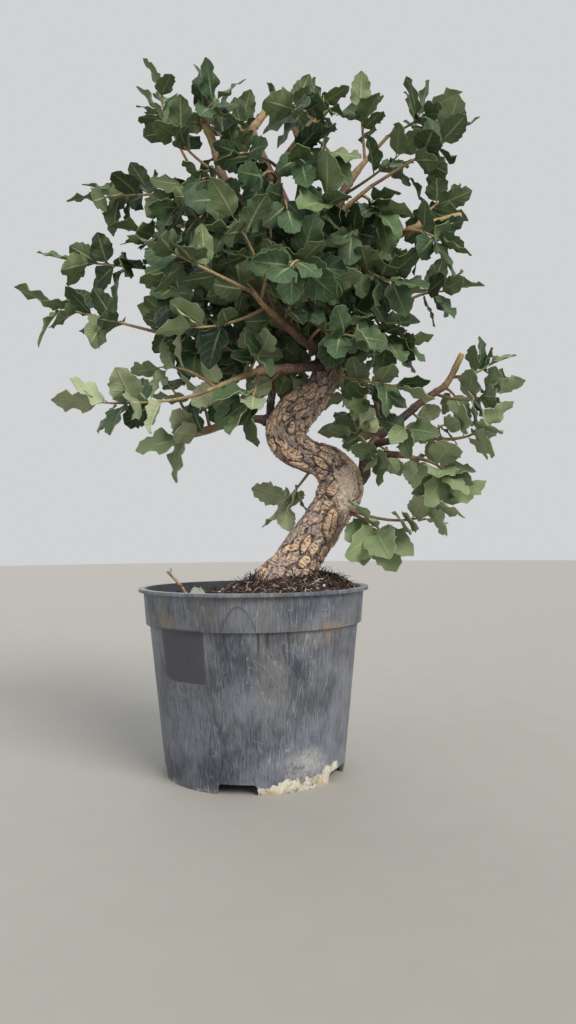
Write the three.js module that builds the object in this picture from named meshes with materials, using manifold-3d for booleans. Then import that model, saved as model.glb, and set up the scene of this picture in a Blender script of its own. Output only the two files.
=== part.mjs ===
// Cork oak grown as a bonsai, in the round plastic pot that holds it.
//
// Millimetres, +Z up. The tree is laid out round the pot's axis, with the foot
// of the pot at Z = 0 and the front of the tree towards -Y. At the end the
// whole is moved so that the origin is the middle of the bottom of its box.
// The trunk and its pruned limbs are one piece of wood. Each leafy shoot is a
// piece of its own, seated on the limb that it grows from.

import * as THREE from "three";
import { mergeVertices } from "three/addons/utils/BufferGeometryUtils.js";
import Module from "manifold-3d";

const wasm = await Module();
wasm.setup();

// Driving dimensions of the pot
const POT_HEIGHT = 149;
const RIM_RADIUS = 95;
const LIP_DEPTH = 2.5;
const COLLAR_DEPTH = 26;
const COLLAR_TOP_RADIUS = 91;
const COLLAR_LOW_RADIUS = 89;
const BODY_TOP_RADIUS = 86;
const FOOT_RADIUS = 73.4;
const POT_WALL = 1.8;
const FOOT_RING = 3;
const FLOOR_LOW = 8;
const FLOOR_THICK = 2;
const POT_SEGMENTS = 32;
const NOTCHES = 5;
const NOTCH_WIDTH = 31;
const NOTCH_CORNER = 3;
const NOTCH_ANGLE = -98;
const NOTCH_TAPER = 1;
const DRAIN_RADIUS = 5;
const DRAIN_CIRCLE = 48;

// Driving dimensions of the soil
const SOIL_LEVEL = 140;
const SOIL_RINGS = [86, 58, 40, 20, 0];
const SOIL_ROOM = 0.45;
const MOUND = { x: 31, y: 2, height: 21, spread: 34 };
const ROOT_LUMP = { x: 68, y: -4, height: 6, spread: 11 };
const CRUMB = 0.8;

// Clearances and fineness of the plant
const SEAT = 0.35;
const TRUNK_SIDES = 14;
const TRUNK_RINGS = 42;
const LIMB_SIDES = 5;
const LIMB_STEP = 24;
const LIMB_PROBES = 6;
const TWIG_SIDES = 4;
const TWIG_STEP = 30;
const TWIG_PROBES = 12;
const TWIG_BASE_RADIUS = 1.7;
const TWIG_TIP_RADIUS = 1.1;
const BLADE = 0.8;

// Bark of the trunk: wandering ridges that fade out under the soil
const BARK_RIDGES = 5;
const BARK_RISE = 1.2;
const BARK_STARTS = 2.2;

// What lies on the soil
const DEAD_TWIG = { points: [[-50, -19, 133], [-57, -21, 149], [-69, -24, 163]], radii: [1.5, 1] };
const FALLEN_LEAF = { x: -52, y: -34, above: 1.3, turn: 0.35, lean: [-0.1, 0.02] };
const FALLEN_LEAF_SIZE = { length: 15, halfWidth: 4.2 };

// How leaves sit on a shoot: angles in radians, roots in millimetres from the twig's middle line
const SEED = 20417;
const GOLDEN_ANGLE = Math.PI * (3 - Math.sqrt(5));
const FIRST_LEAF = 0.38;
const LEAF_ROOT = 0.5;
const TIP_LEAF_ROOT = -0.5;
const LEAF_LEAN = [1.15, 0.8];
const LEAN_SPREAD = 0.5;
const TURN_SPREAD = 2.4;
const ROLL_SPREAD = 1.5;
const LIGHTWARD = 0.12;
const FACE_UP = 0.9;
const FACE_TIP = 0.6;

// The form of a leaf, as shares of its length unless they say otherwise
const LEAF_LENGTHS = [0.92, 1.25];
const LEAF_WIDTHS = [0.56, 0.73];
const LEAF_DROOP = [-0.05, 0.3];
const LEAF_FOLD = [-0.25, 0.45];
const LEAF_WAVE = [0.02, 0.06];
const WAVES_ON_A_LEAF = 1.6;

// Room kept round leaves, twigs and limbs, and how often a leaf looks for a free place
const LEAF_ROOM = 3.7;
const LEAF_ROOM_AT_WOOD = 2.7;
const SISTER_ROOM = 2.9;
const TWIG_ROOM = 2.4;
const LIMB_ROOM = 1.6;
const TWIG_SEAT_ROOM = 12;
const LEAF_TRIES = 24;

// The crown that the filling shoots spread over
const CROWN_CENTRE = [14, 0, 430];
const CROWN_RADII = [104, 104, 118];
const FILLERS = 14;
const FILLER_DIRECTIONS = 110;
const FILLER_LOWEST = -0.8;
const FILLER_SPACING = 48;
const FILLER_START_SPACING = 9;
const FILLER_REACH = [24, 85];
const FILLER_RISE = 0.1;
const FILLER_LEAVES = 5;
const FILLER_LEAF = 27;

// Trunk and limbs: places on the middle line, and radii spread evenly along it
const LIMBS = {
  trunk: {
    points: [
      [4, 0, 98], [13, 0, 130], [22, 0, 147], [33, 0, 165], [44, 0, 182], [58, 2, 202], [68, 4, 218],
      [73, 5, 231], [70, 4, 243], [60, 1, 252], [46, -4, 257], [34, -8, 264], [28, -10, 275],
      [32, -8, 288], [42, -4, 299], [52, 0, 309], [61, 3, 324], [64, 5, 345], [62, 5, 371],
      [57, 3, 396], [52, 0, 421],
    ],
    radii: [
      13, 20, 24, 19.5, 17.5, 17, 17.4, 18, 16.6, 14.4, 13.4,
      15, 16.4, 16, 14.4, 12.4, 11.4, 10.4, 9.4, 8, 6.4,
    ],
  },
  up_left: {
    points: [[56, 3, 405], [33, -12, 429], [-1, -30, 455], [-20, -38, 478], [-26, -42, 499], [-35, -46, 522]],
    radii: [4.4, 3.2],
  },
  up_centre: {
    points: [[52, 0, 415], [38, 5, 458], [13, 5, 510], [2, 2, 536], [7, 2, 547], [22, 4, 569]],
    radii: [5, 2.8],
  },
  front_olive: {
    points: [[33, -12, 429], [24, -36, 461], [25, -48, 480], [44, -58, 502], [61, -64, 520]],
    radii: [3.4, 2.8],
  },
  top_stub: { points: [[36, 5, 462], [45, -4, 501], [40, -10, 527], [32, -12, 546]], radii: [3, 2.2] },
  up_right: {
    points: [[52, 0, 413], [68, 8, 459], [81, 12, 491], [95, 12, 511], [119, 10, 537]],
    radii: [5, 2.8],
  },
  right_stub: {
    points: [[57, 3, 396], [80, -18, 420], [114, -32, 430], [137, -38, 437], [169, -42, 444]],
    radii: [4.2, 2.6],
  },
  right_up: { points: [[55, 1, 410], [64, -20, 436], [76, -34, 452], [97, -44, 467]], radii: [3.6, 2.4] },
  right_low: { points: [[62, 5, 371], [84, 8, 377], [107, 8, 383], [130, 8, 389]], radii: [4, 2.5] },
  front_left: {
    points: [[64, 5, 349], [48, -30, 344], [30, -60, 351], [14, -82, 359], [5, -95, 366]],
    radii: [4.2, 2.5],
  },
  left_low: { points: [[63, 4, 336], [40, -25, 327], [6, -60, 316], [-29, -88, 296]], radii: [4.4, 2.6] },
  left_mid: { points: [[62, 5, 362], [24, -2, 358], [-28, -10, 360], [-68, -12, 358]], radii: [4.6, 2.6] },
  left_high: { points: [[57, 3, 394], [7, 10, 409], [-45, 10, 417]], radii: [4, 2.4] },
  left_up: { points: [[56, 3, 402], [16, 14, 448], [-23, 14, 477], [-48, 12, 488]], radii: [4.2, 2.4] },
  right_spray: {
    points: [[74, 7, 232], [92, 8, 241], [96, 6, 258], [103, 4, 269], [109, 2, 279], [112, 0, 289]],
    radii: [5.6, 4],
  },
  spray_stub: {
    points: [
      [105, 3, 273], [124, -4, 287], [140, -10, 300], [152, -14, 308], [161, -18, 315], [173, -20, 338],
    ],
    radii: [3.8, 2.4],
  },
  spray_mid: {
    points: [[102, 4, 268], [119, -12, 269], [135, -24, 271], [146, -32, 267]],
    radii: [3.2, 2.2],
  },
  spray_low: { points: [[97, 6, 260], [119, -10, 257], [134, -20, 253]], radii: [3.2, 2.2] },
  spray_up: { points: [[110, 1, 283], [105, 4, 307], [106, 6, 335]], radii: [3, 2.1] },
  left_stem: {
    points: [[30, -8, 279], [16, 2, 294], [16, 4, 311], [15, 6, 332], [8, 10, 350]],
    radii: [4, 2.3],
  },
  left_stub: {
    points: [[25, -4, 284], [2, -10, 288], [-21, -16, 282], [-48, -20, 276]],
    radii: [3.6, 2.4],
  },
  back_low: { points: [[64, 5, 344], [67, 42, 346], [60, 76, 353], [50, 98, 362]], radii: [4.4, 2.5] },
  back_left: { points: [[60, 4, 383], [32, 40, 394], [-8, 66, 401], [-44, 78, 404]], radii: [4.4, 2.4] },
  back_right: { points: [[57, 3, 398], [82, 38, 418], [106, 58, 430], [126, 66, 444]], radii: [4.4, 2.4] },
  back_up: { points: [[54, 2, 408], [48, 34, 446], [30, 54, 486], [16, 58, 520]], radii: [4.4, 2.4] },
};

// Shoots placed by hand: limb, share of the way along it, middle, tip, leaves, leaf length
const SHOOTS = [
  ["left_high", 1, [-96, 6, 422], [-150, -5, 424], 5, 28],
  ["left_mid", 1, [-104, -20, 366], [-158, -30, 378], 6, 29],
  ["left_low", 1, [-58, -104, 286], [-100, -116, 283], 5, 30],
  ["left_up", 1, [-87, 6, 486], [-128, 0, 481], 5, 28],
  ["left_up", 0.62, [-60, 36, 500], [-112, 44, 508], 4, 27],
  ["left_up", 0.8, [-62, 2, 528], [-78, -2, 572], 5, 27],
  ["up_centre", 0.3, [-4, -22, 502], [-38, -30, 532], 5, 28],
  ["up_left", 0.62, [-44, -50, 492], [-64, -58, 514], 4, 26],
  ["up_left", 0.97, [-34, -56, 520], [-24, -66, 524], 4, 27],
  ["up_centre", 0.72, [-8, 18, 548], [-10, 30, 562], 4, 26],
  ["up_centre", 0.97, [34, 14, 568], [44, 22, 572], 4, 25],
  ["front_olive", 0.9, [48, -70, 512], [36, -82, 508], 4, 27],
  ["top_stub", 0.95, [44, -22, 540], [60, -28, 544], 4, 27],
  ["up_right", 1, [136, 6, 544], [150, 2, 552], 5, 28],
  ["up_right", 0.8, [98, 14, 540], [96, 12, 562], 4, 27],
  ["up_right", 0.45, [102, -14, 490], [124, -28, 502], 4, 27],
  ["right_up", 1, [130, -52, 484], [158, -56, 500], 5, 28],
  ["right_stub", 0.72, [144, -22, 454], [160, -10, 470], 5, 27],
  ["right_stub", 0.6, [132, -56, 426], [146, -68, 414], 5, 28],
  ["right_low", 1, [146, 4, 396], [166, 0, 397], 5, 28],
  ["right_low", 0.6, [106, -12, 366], [112, -24, 348], 5, 28],
  ["right_stub", 0.3, [94, -46, 398], [112, -64, 384], 5, 27],
  ["trunk", 0.93, [44, -75, 392], [32, -128, 372], 7, 30],
  ["trunk", 0.965, [56, -54, 424], [60, -84, 440], 5, 28],
  ["trunk", 0.86, [62, -50, 346], [80, -84, 336], 5, 28],
  ["trunk", 0.81, [86, -36, 314], [116, -58, 304], 5, 28],
  ["front_left", 1, [-18, -114, 372], [-50, -128, 384], 5, 28],
  ["front_left", 0.75, [-12, -88, 346], [-38, -98, 340], 4, 27],
  ["left_low", 0.66, [6, -78, 300], [2, -86, 288], 4, 30],
  ["left_stub", 0.7, [-34, -30, 274], [-56, -36, 268], 3, 32],
  ["spray_stub", 0.85, [178, -24, 320], [192, -26, 326], 4, 24],
  ["spray_stub", 0.58, [172, -32, 298], [194, -38, 303], 4, 26],
  ["spray_mid", 1, [166, -44, 266], [180, -52, 272], 4, 27],
  ["spray_low", 1, [146, -38, 246], [150, -48, 238], 4, 30],
  ["spray_up", 1, [112, -2, 346], [128, -10, 350], 4, 26],
  ["spray_up", 0.35, [92, 28, 308], [76, 40, 322], 5, 27],
  ["right_spray", 0.72, [92, 34, 284], [84, 50, 292], 4, 27],
  ["trunk", 0.3, [118, -26, 202], [154, -42, 216], 5, 28],
  ["trunk", 0.29, [98, -14, 200], [100, -30, 192], 4, 32],
  ["trunk", 0.47, [40, 22, 236], [24, 30, 218], 4, 27],
  ["left_stem", 1, [0, 16, 366], [-10, 22, 380], 4, 26],
];

// Outline of a leaf: share of its length, share of its half width
const LEAF_EDGE = [[0, 0], [0.3, 0.94], [0.48, 0.68], [0.7, 0.88], [1, 0], [0.74, -0.76], [0.38, -1]];

// Places on a leaf that must keep clear of everything else, from its base to its tip
const LEAF_PLACES = [0.2, 0.4, 0.6, 0.8, 1].flatMap((s) => [[s, 0], [s, 0.75], [s, -0.75]]);
const BASE_PLACES = 3;

const finish = (color, roughness) => new THREE.MeshStandardMaterial({ color, roughness, metalness: 0 });
const POT_PLASTIC = finish(0x5e6c72, 0.7);
const DARK_SOIL = finish(0x3a332b, 1);
const CORK_BARK = finish(0x9a7f68, 0.95);
const OAK_LEAF = finish(0x5f7448, 0.55);
const DEAD_WOOD = finish(0xa58d6c, 0.9);
const PALE_LEAF = finish(0xa9ad77, 0.7);

const vector = (p) => new THREE.Vector3(p[0], p[1], p[2]);
const mix = THREE.MathUtils.lerp;

// The same seeded draw every time: a Park-Miller generator
let state = SEED;
function draw() {
  state = (state * 48271) % 2147483647;
  return state / 2147483647;
}

const within = (range) => mix(range[0], range[1], draw());

// Closed three.js mesh to solid and back
function solidOf(geometry) {
  const bare = geometry.clone();
  bare.deleteAttribute("normal");
  bare.deleteAttribute("uv");
  const merged = mergeVertices(bare, 1e-4);
  return new wasm.Manifold(
    new wasm.Mesh({
      numProp: 3,
      vertProperties: Float32Array.from(merged.attributes.position.array),
      triVerts: Uint32Array.from(merged.index.array),
    }),
  );
}

function largest(solid) {
  const bodies = solid.decompose();
  return bodies.reduce((best, body) => (body.volume() > best.volume() ? body : best));
}

function meshOf(name, solid, material) {
  const { vertProperties, triVerts } = solid.getMesh();
  const geometry = new THREE.BufferGeometry();
  geometry.setAttribute("position", new THREE.BufferAttribute(vertProperties, 3));
  geometry.setIndex(new THREE.BufferAttribute(triVerts, 1));
  geometry.computeVertexNormals();
  const mesh = new THREE.Mesh(geometry, material);
  mesh.name = name;
  return mesh;
}

const join = (solids) => solids.reduce((all, solid) => all.add(solid));
const cut = (solid, tools) => tools.reduce((left, tool) => left.subtract(tool), solid);

// Curves

function curveOf(points) {
  return new THREE.CatmullRomCurve3(points.map(vector), false, "catmullrom", 0.5);
}

function spreadValue(values, t) {
  const place = t * (values.length - 1);
  const before = Math.min(Math.floor(place), values.length - 2);
  return mix(values[before], values[before + 1], place - before);
}

// A curve of straight stretches between points
class Chain extends THREE.Curve {
  constructor(points) {
    super();
    this.points = points;
    this.stretches = points.length - 1;
  }

  getPoint(t) {
    const place = t * this.stretches;
    const before = Math.min(Math.floor(place), this.stretches - 1);
    return this.points[before].clone().lerp(this.points[before + 1], place - before);
  }
}

function sideways(axis) {
  const helper = Math.abs(axis.y) < 0.9 ? new THREE.Vector3(0, 1, 0) : new THREE.Vector3(1, 0, 0);
  return helper.addScaledVector(axis, -helper.dot(axis)).normalize();
}

function framesAlong(curve, steps) {
  let side = null;
  return Array.from({ length: steps + 1 }, (_, i) => {
    const axis = curve.getTangent(i / steps);
    side = side ? side.clone() : sideways(axis);
    side.addScaledVector(axis, -side.dot(axis)).normalize();
    return { centre: curve.getPoint(i / steps), axis, side, across: side.clone().cross(axis) };
  });
}

// A capped round bar bent along a curve: radiusAt takes the share along it and the angle round
// it, and grow makes the whole bar fatter and longer by that much, for the room round it
function bar(curve, sides, rings, radiusAt, grow = 0) {
  const geometry = new THREE.CylinderGeometry(1, 1, 1, sides, rings);
  const frames = framesAlong(curve, rings);
  frames[0].centre.addScaledVector(frames[0].axis, -grow);
  frames[rings].centre.addScaledVector(frames[rings].axis, grow);
  const places = geometry.attributes.position;
  for (let i = 0; i < places.count; i++) {
    const share = places.getY(i) + 0.5;
    const frame = frames[Math.round(share * rings)];
    const radius = radiusAt(share, Math.atan2(places.getX(i), places.getZ(i))) + grow;
    const place = frame.centre.clone();
    place.addScaledVector(frame.side, places.getX(i) * radius);
    place.addScaledVector(frame.across, places.getZ(i) * radius);
    places.setXYZ(i, place.x, place.y, place.z);
  }
  return solidOf(geometry);
}

// Pot

// A profile of radius and height, turned about Z
function lathed(profile) {
  const points = profile.map(([radius, height]) => new THREE.Vector2(radius, height));
  return new THREE.LatheGeometry(points, POT_SEGMENTS).rotateX(Math.PI / 2);
}

function potProfile() {
  const collarLow = POT_HEIGHT - LIP_DEPTH - COLLAR_DEPTH;
  const underLip = POT_HEIGHT - LIP_DEPTH;
  const floorRadius = mix(FOOT_RADIUS, BODY_TOP_RADIUS, FLOOR_LOW / collarLow) - POT_WALL;
  return [
    [0, FLOOR_LOW],
    [FOOT_RADIUS - FOOT_RING, FLOOR_LOW],
    [FOOT_RADIUS - FOOT_RING, 0],
    [FOOT_RADIUS, 0],
    [BODY_TOP_RADIUS, collarLow],
    [COLLAR_LOW_RADIUS, collarLow],
    [COLLAR_TOP_RADIUS, underLip],
    [RIM_RADIUS, underLip],
    [RIM_RADIUS, POT_HEIGHT],
    [COLLAR_TOP_RADIUS - POT_WALL, POT_HEIGHT],
    [COLLAR_LOW_RADIUS - POT_WALL, collarLow + POT_WALL],
    [BODY_TOP_RADIUS - POT_WALL, collarLow + POT_WALL],
    [floorRadius, FLOOR_LOW + FLOOR_THICK],
    [0, FLOOR_LOW + FLOOR_THICK],
  ];
}

// The notch's outline runs across the foot ring and is pushed out through it
function notchTool() {
  const half = NOTCH_WIDTH / 2;
  const top = half - NOTCH_TAPER;
  const outline = new THREE.Shape();
  outline.moveTo(-half, -1);
  outline.lineTo(half, -1);
  outline.lineTo(top, FLOOR_LOW - NOTCH_CORNER);
  outline.lineTo(top - NOTCH_CORNER, FLOOR_LOW);
  outline.lineTo(NOTCH_CORNER - top, FLOOR_LOW);
  outline.lineTo(-top, FLOOR_LOW - NOTCH_CORNER);
  const notch = new THREE.ExtrudeGeometry(outline, { depth: 4 * FOOT_RING, bevelEnabled: false });
  return notch.rotateX(Math.PI / 2).translate(0, FOOT_RADIUS + 2 * FOOT_RING, 0);
}

function drainTool() {
  const drain = new THREE.CylinderGeometry(DRAIN_RADIUS, DRAIN_RADIUS, 4 * FLOOR_THICK, 8);
  return drain.rotateX(Math.PI / 2).translate(0, DRAIN_CIRCLE, FLOOR_LOW);
}

function potSolid() {
  const tools = [];
  for (let i = 0; i < NOTCHES; i++) {
    const angle = THREE.MathUtils.degToRad(NOTCH_ANGLE - 90 + (i * 360) / NOTCHES);
    tools.push(solidOf(notchTool().rotateZ(angle)), solidOf(drainTool().rotateZ(angle)));
  }
  return cut(solidOf(lathed(potProfile())), tools);
}

// Soil

function soilHeight(x, y) {
  const rise = (hill) => {
    const away = (x - hill.x) ** 2 + (y - hill.y) ** 2;
    return hill.height * Math.exp(-away / (2 * hill.spread ** 2));
  };
  const crumbs = Math.sin(x * 0.31 + y * 0.17) * Math.cos(y * 0.29 - x * 0.11);
  return SOIL_LEVEL + rise(MOUND) + rise(ROOT_LUMP) + CRUMB * crumbs;
}

// Filled to the pot's walls, with the room that separate pieces keep
function soilProfile() {
  const collarLow = POT_HEIGHT - LIP_DEPTH - COLLAR_DEPTH;
  const step = collarLow + POT_WALL + SEAT;
  const floor = FLOOR_LOW + FLOOR_THICK + SEAT;
  const room = POT_WALL + SOIL_ROOM;
  const low = mix(FOOT_RADIUS, BODY_TOP_RADIUS, floor / collarLow) - room;
  const top = mix(COLLAR_LOW_RADIUS, COLLAR_TOP_RADIUS, (SOIL_LEVEL - collarLow) / COLLAR_DEPTH) - room;
  const body = [[0, floor], [low, floor], [BODY_TOP_RADIUS - room, step]];
  const collar = [[COLLAR_LOW_RADIUS - room, step], [top, SOIL_LEVEL]];
  return [...body, ...collar, ...SOIL_RINGS.map((radius) => [radius, SOIL_LEVEL])];
}

function soilSolid(tools) {
  const lathe = lathed(soilProfile());
  const places = lathe.attributes.position;
  for (let i = 0; i < places.count; i++) {
    const onTop = places.getZ(i) > SOIL_LEVEL - 0.01;
    if (onTop && Math.hypot(places.getX(i), places.getY(i)) < SOIL_RINGS[0] + 0.1) {
      places.setZ(i, soilHeight(places.getX(i), places.getY(i)));
    }
  }
  return cut(solidOf(lathe), tools);
}

// Wood

function barkRise(t, angle) {
  const run = t * (LIMBS.trunk.points.length - 1);
  const fade = THREE.MathUtils.smoothstep(run, BARK_STARTS, BARK_STARTS + 1);
  const wander = BARK_RIDGES * angle + 0.9 * Math.sin(run * 1.1);
  const plates = 0.75 + 0.25 * Math.cos(run * 2.9 + angle);
  return BARK_RISE * fade * plates * Math.cos(wander);
}

function limbSolid(name, grow) {
  const { points, radii } = LIMBS[name];
  const curve = curveOf(points);
  if (name === "trunk") {
    const radiusAt = (t, angle) => spreadValue(radii, t) + barkRise(t, angle);
    return bar(curve, TRUNK_SIDES, TRUNK_RINGS, radiusAt, grow);
  }
  const rings = Math.max(3, Math.round(curve.getLength() / LIMB_STEP));
  return bar(curve, LIMB_SIDES, rings, (t) => spreadValue(radii, t), grow);
}

const woodSolid = (grow) => join(Object.keys(LIMBS).map((name) => limbSolid(name, grow)));

// Shoots and leaves: where they go

// A probe is a place and the room that is kept round it
function limbProbes() {
  return Object.values(LIMBS).flatMap(({ points, radii }) => {
    const steps = LIMB_PROBES * (points.length - 1);
    const places = curveOf(points).getPoints(steps);
    return places.map((at, i) => ({ at, room: spreadValue(radii, i / steps) + LIMB_ROOM }));
  });
}

// A twig bends once, in straight stretches, from the limb's middle line through its own middle
function shootOf(name, start, middle, tip, leaves, size) {
  const handle = middle.clone().multiplyScalar(2).addScaledVector(start, -0.5).addScaledVector(tip, -0.5);
  const bow = new THREE.QuadraticBezierCurve3(start, handle, tip);
  const length = start.distanceTo(middle) + middle.distanceTo(tip);
  const curve = new Chain(bow.getPoints(Math.max(2, Math.round(length / TWIG_STEP))));
  const probes = curve.getPoints(TWIG_PROBES).map((at) => ({ at, room: TWIG_ROOM }));
  return { name, start, tip, curve, leaves, size, probes, phase: 2 * Math.PI * draw(), placed: [] };
}

function handPlacedShoots() {
  const count = {};
  return SHOOTS.map(([limb, t, middle, tip, leaves, size]) => {
    count[limb] = (count[limb] ?? 0) + 1;
    const start = curveOf(LIMBS[limb].points).getPoint(t);
    return shootOf(`shoot_${limb}_${count[limb]}`, start, vector(middle), vector(tip), leaves, size);
  });
}

function crownPlace(k) {
  const lift = (2 * k + 1) / FILLER_DIRECTIONS - 1;
  const level = Math.sqrt(1 - lift * lift);
  const turn = k * GOLDEN_ANGLE;
  const way = vector([level * Math.cos(turn), level * Math.sin(turn), lift]);
  return { lift, tip: way.multiply(vector(CROWN_RADII)).add(vector(CROWN_CENTRE)) };
}

function fillingShoot(name, tip, others, wood) {
  const unused = (probe) => others.every((shoot) => shoot.start.distanceTo(probe.at) > FILLER_START_SPACING);
  const nearer = (best, probe) => (probe.at.distanceTo(tip) < best.at.distanceTo(tip) ? probe : best);
  const start = wood.filter(unused).reduce(nearer).at.clone();
  const reach = start.distanceTo(tip);
  const middle = start.clone().lerp(tip, 0.5);
  middle.z += FILLER_RISE * reach;
  const shoot = shootOf(name, start, middle, tip, FILLER_LEAVES, FILLER_LEAF);
  const reaches = reach > FILLER_REACH[0] && reach < FILLER_REACH[1];
  return reaches && twigIsClear(shoot, others, wood) ? shoot : null;
}

// Shoots that fill the gaps in the crown, spread over it by the golden angle
function fillingShoots(shoots, wood) {
  const all = [...shoots];
  for (let k = 0; k < FILLER_DIRECTIONS && all.length < shoots.length + FILLERS; k++) {
    const { lift, tip } = crownPlace(k);
    const free = all.every((shoot) => shoot.tip.distanceTo(tip) > FILLER_SPACING);
    if (lift > FILLER_LOWEST && free) {
      const shoot = fillingShoot(`shoot_crown_${all.length - shoots.length + 1}`, tip, all, wood);
      all.push(...(shoot ? [shoot] : []));
    }
  }
  return all;
}

function twigIsClear(shoot, others, wood) {
  const free = shoot.probes.filter((probe) => probe.at.distanceTo(shoot.start) > TWIG_SEAT_ROOM);
  const inTheWay = [...wood, ...others.flatMap((other) => other.probes)];
  return !meets(free.map((probe) => probe.at), inTheWay, TWIG_ROOM);
}

function meets(places, probes, room) {
  const close = (place, probe) => place.distanceTo(probe.at) < probe.room + room;
  return places.some((place) => probes.some((probe) => close(place, probe)));
}

// Height of a leaf's surface over its own flat frame
function leafHeight(leaf, s, v) {
  const droop = -leaf.droop * leaf.length * s * s;
  const fold = leaf.fold * leaf.halfWidth * Math.abs(v);
  const wave = leaf.wave * leaf.length * v * Math.sin(2 * Math.PI * WAVES_ON_A_LEAF * s + leaf.phase);
  return droop + fold + wave;
}

function leafPoint(leaf, s, v) {
  const place = leaf.foot.clone().addScaledVector(leaf.along, s * leaf.length);
  place.addScaledVector(leaf.side, v * leaf.halfWidth);
  return place.addScaledVector(leaf.normal, leafHeight(leaf, s, v));
}

// Where a leaf points: round the twig by the golden angle, leaning out from it
function leafWay(shoot, index, axis, isTip) {
  const side = sideways(axis);
  const over = side.clone().cross(axis);
  const turn = shoot.phase + index * GOLDEN_ANGLE + TURN_SPREAD * (draw() - 0.5);
  const spread = LEAN_SPREAD * (draw() - 0.5);
  const usual = mix(LEAF_LEAN[0], LEAF_LEAN[1], (index + 1) / shoot.leaves);
  const lean = isTip ? Math.abs(spread) : usual + spread;
  const outward = side.multiplyScalar(Math.cos(turn)).addScaledVector(over, Math.sin(turn));
  const along = axis.clone().multiplyScalar(Math.cos(lean)).addScaledVector(outward, Math.sin(lean));
  along.z += LIGHTWARD;
  return along.normalize();
}

// Which way a leaf's upper face looks: up and towards the tip of the twig, rolled a little
function leafFace(along, axis) {
  const up = vector([0, 0, FACE_UP]).addScaledVector(axis, FACE_TIP);
  up.addScaledVector(along, -up.dot(along)).normalize();
  const across = up.clone().cross(along);
  const roll = ROLL_SPREAD * (draw() - 0.5);
  return up.multiplyScalar(Math.cos(roll)).addScaledVector(across, Math.sin(roll));
}

function leafOn(shoot, index) {
  const isTip = index === shoot.leaves - 1;
  const u = 1 - (1 - FIRST_LEAF) * (1 - (index + 1) / shoot.leaves);
  const axis = shoot.curve.getTangent(u);
  const along = leafWay(shoot, index, axis, isTip);
  const normal = leafFace(along, axis);
  const length = shoot.size * within(LEAF_LENGTHS);
  const halfWidth = 0.5 * length * within(LEAF_WIDTHS);
  const form = { droop: within(LEAF_DROOP), fold: within(LEAF_FOLD), wave: within(LEAF_WAVE) };
  form.phase = 2 * Math.PI * draw();
  const foot = shoot.curve.getPoint(u).addScaledVector(along, isTip ? TIP_LEAF_ROOT : LEAF_ROOT);
  const leaf = { foot, along, normal, side: normal.clone().cross(along), length, halfWidth, ...form };
  leaf.probes = LEAF_PLACES.map(([s, v]) => ({ at: leafPoint(leaf, s, v), room: LEAF_ROOM }));
  return leaf;
}

function leafIsClear(leaf, shoot, shoots, wood) {
  const places = leaf.probes.map((probe) => probe.at);
  if (meets(places, wood, LEAF_ROOM_AT_WOOD)) {
    return false;
  }
  const outer = places.slice(BASE_PLACES);
  const sisterProbes = shoot.placed.flatMap((sister) => sister.probes.slice(BASE_PLACES));
  if (meets(outer, sisterProbes, 2 * SISTER_ROOM - LEAF_ROOM)) {
    return false;
  }
  const strangers = shoots.filter((other) => other !== shoot);
  const obstacles = strangers.flatMap((other) => [other, ...other.placed]);
  return !obstacles.some((other) => meets(places, other.probes, LEAF_ROOM));
}

function placeLeaf(shoot, index, shoots, wood) {
  for (let attempt = 0; attempt < LEAF_TRIES; attempt++) {
    const leaf = leafOn(shoot, index);
    if (leafIsClear(leaf, shoot, shoots, wood)) {
      shoot.placed.push(leaf);
      return;
    }
  }
}

function placeLeaves(shoots, wood) {
  for (const shoot of shoots) {
    for (let index = shoot.leaves - 1; index >= 0; index--) {
      placeLeaf(shoot, index, shoots, wood);
    }
  }
}

// Shoots and leaves: what they are

function leafSolid(leaf) {
  const outline = LEAF_EDGE.map(([s, v]) => new THREE.Vector2(s * leaf.length, v * leaf.halfWidth));
  const blade = new THREE.ExtrudeGeometry(new THREE.Shape(outline), { depth: BLADE, bevelEnabled: false });
  const places = blade.attributes.position;
  for (let i = 0; i < places.count; i++) {
    const lift = leafHeight(leaf, places.getX(i) / leaf.length, places.getY(i) / leaf.halfWidth);
    places.setZ(i, places.getZ(i) - BLADE / 2 + lift);
  }
  const frame = new THREE.Matrix4().makeBasis(leaf.along, leaf.side, leaf.normal).setPosition(leaf.foot);
  return solidOf(blade.applyMatrix4(frame));
}

function shootSolid(shoot, grownWood) {
  const radiusAt = (t) => mix(TWIG_BASE_RADIUS, TWIG_TIP_RADIUS, t);
  const twig = bar(shoot.curve, TWIG_SIDES, shoot.curve.stretches, radiusAt);
  const seated = largest(twig.subtract(grownWood));
  return largest(join([seated, ...shoot.placed.map(leafSolid)]));
}

// What lies on the soil

function deadTwigSolid(grow) {
  return bar(curveOf(DEAD_TWIG.points), LIMB_SIDES, 3, (t) => spreadValue(DEAD_TWIG.radii, t), grow);
}

function fallenLeafSolid() {
  const { x, y, above, turn, lean } = FALLEN_LEAF;
  const normal = vector([lean[0], lean[1], 1]).normalize();
  const along = vector([Math.cos(turn), Math.sin(turn), 0]);
  along.addScaledVector(normal, -along.dot(normal)).normalize();
  const foot = vector([x, y, soilHeight(x, y) + above]);
  const shape = { ...FALLEN_LEAF_SIZE, droop: 0, fold: 0.1, wave: 0.02, phase: 0 };
  return leafSolid({ foot, along, normal, side: normal.clone().cross(along), ...shape });
}

// Assembly

function plant() {
  const wood = limbProbes();
  const shoots = fillingShoots(handPlacedShoots(), wood);
  placeLeaves(shoots, wood);
  const grownWood = woodSolid(SEAT);
  const leafy = shoots.map((shoot) => meshOf(shoot.name, shootSolid(shoot, grownWood), OAK_LEAF));
  return [meshOf("trunk_and_branches", woodSolid(0), CORK_BARK), ...leafy];
}

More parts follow.
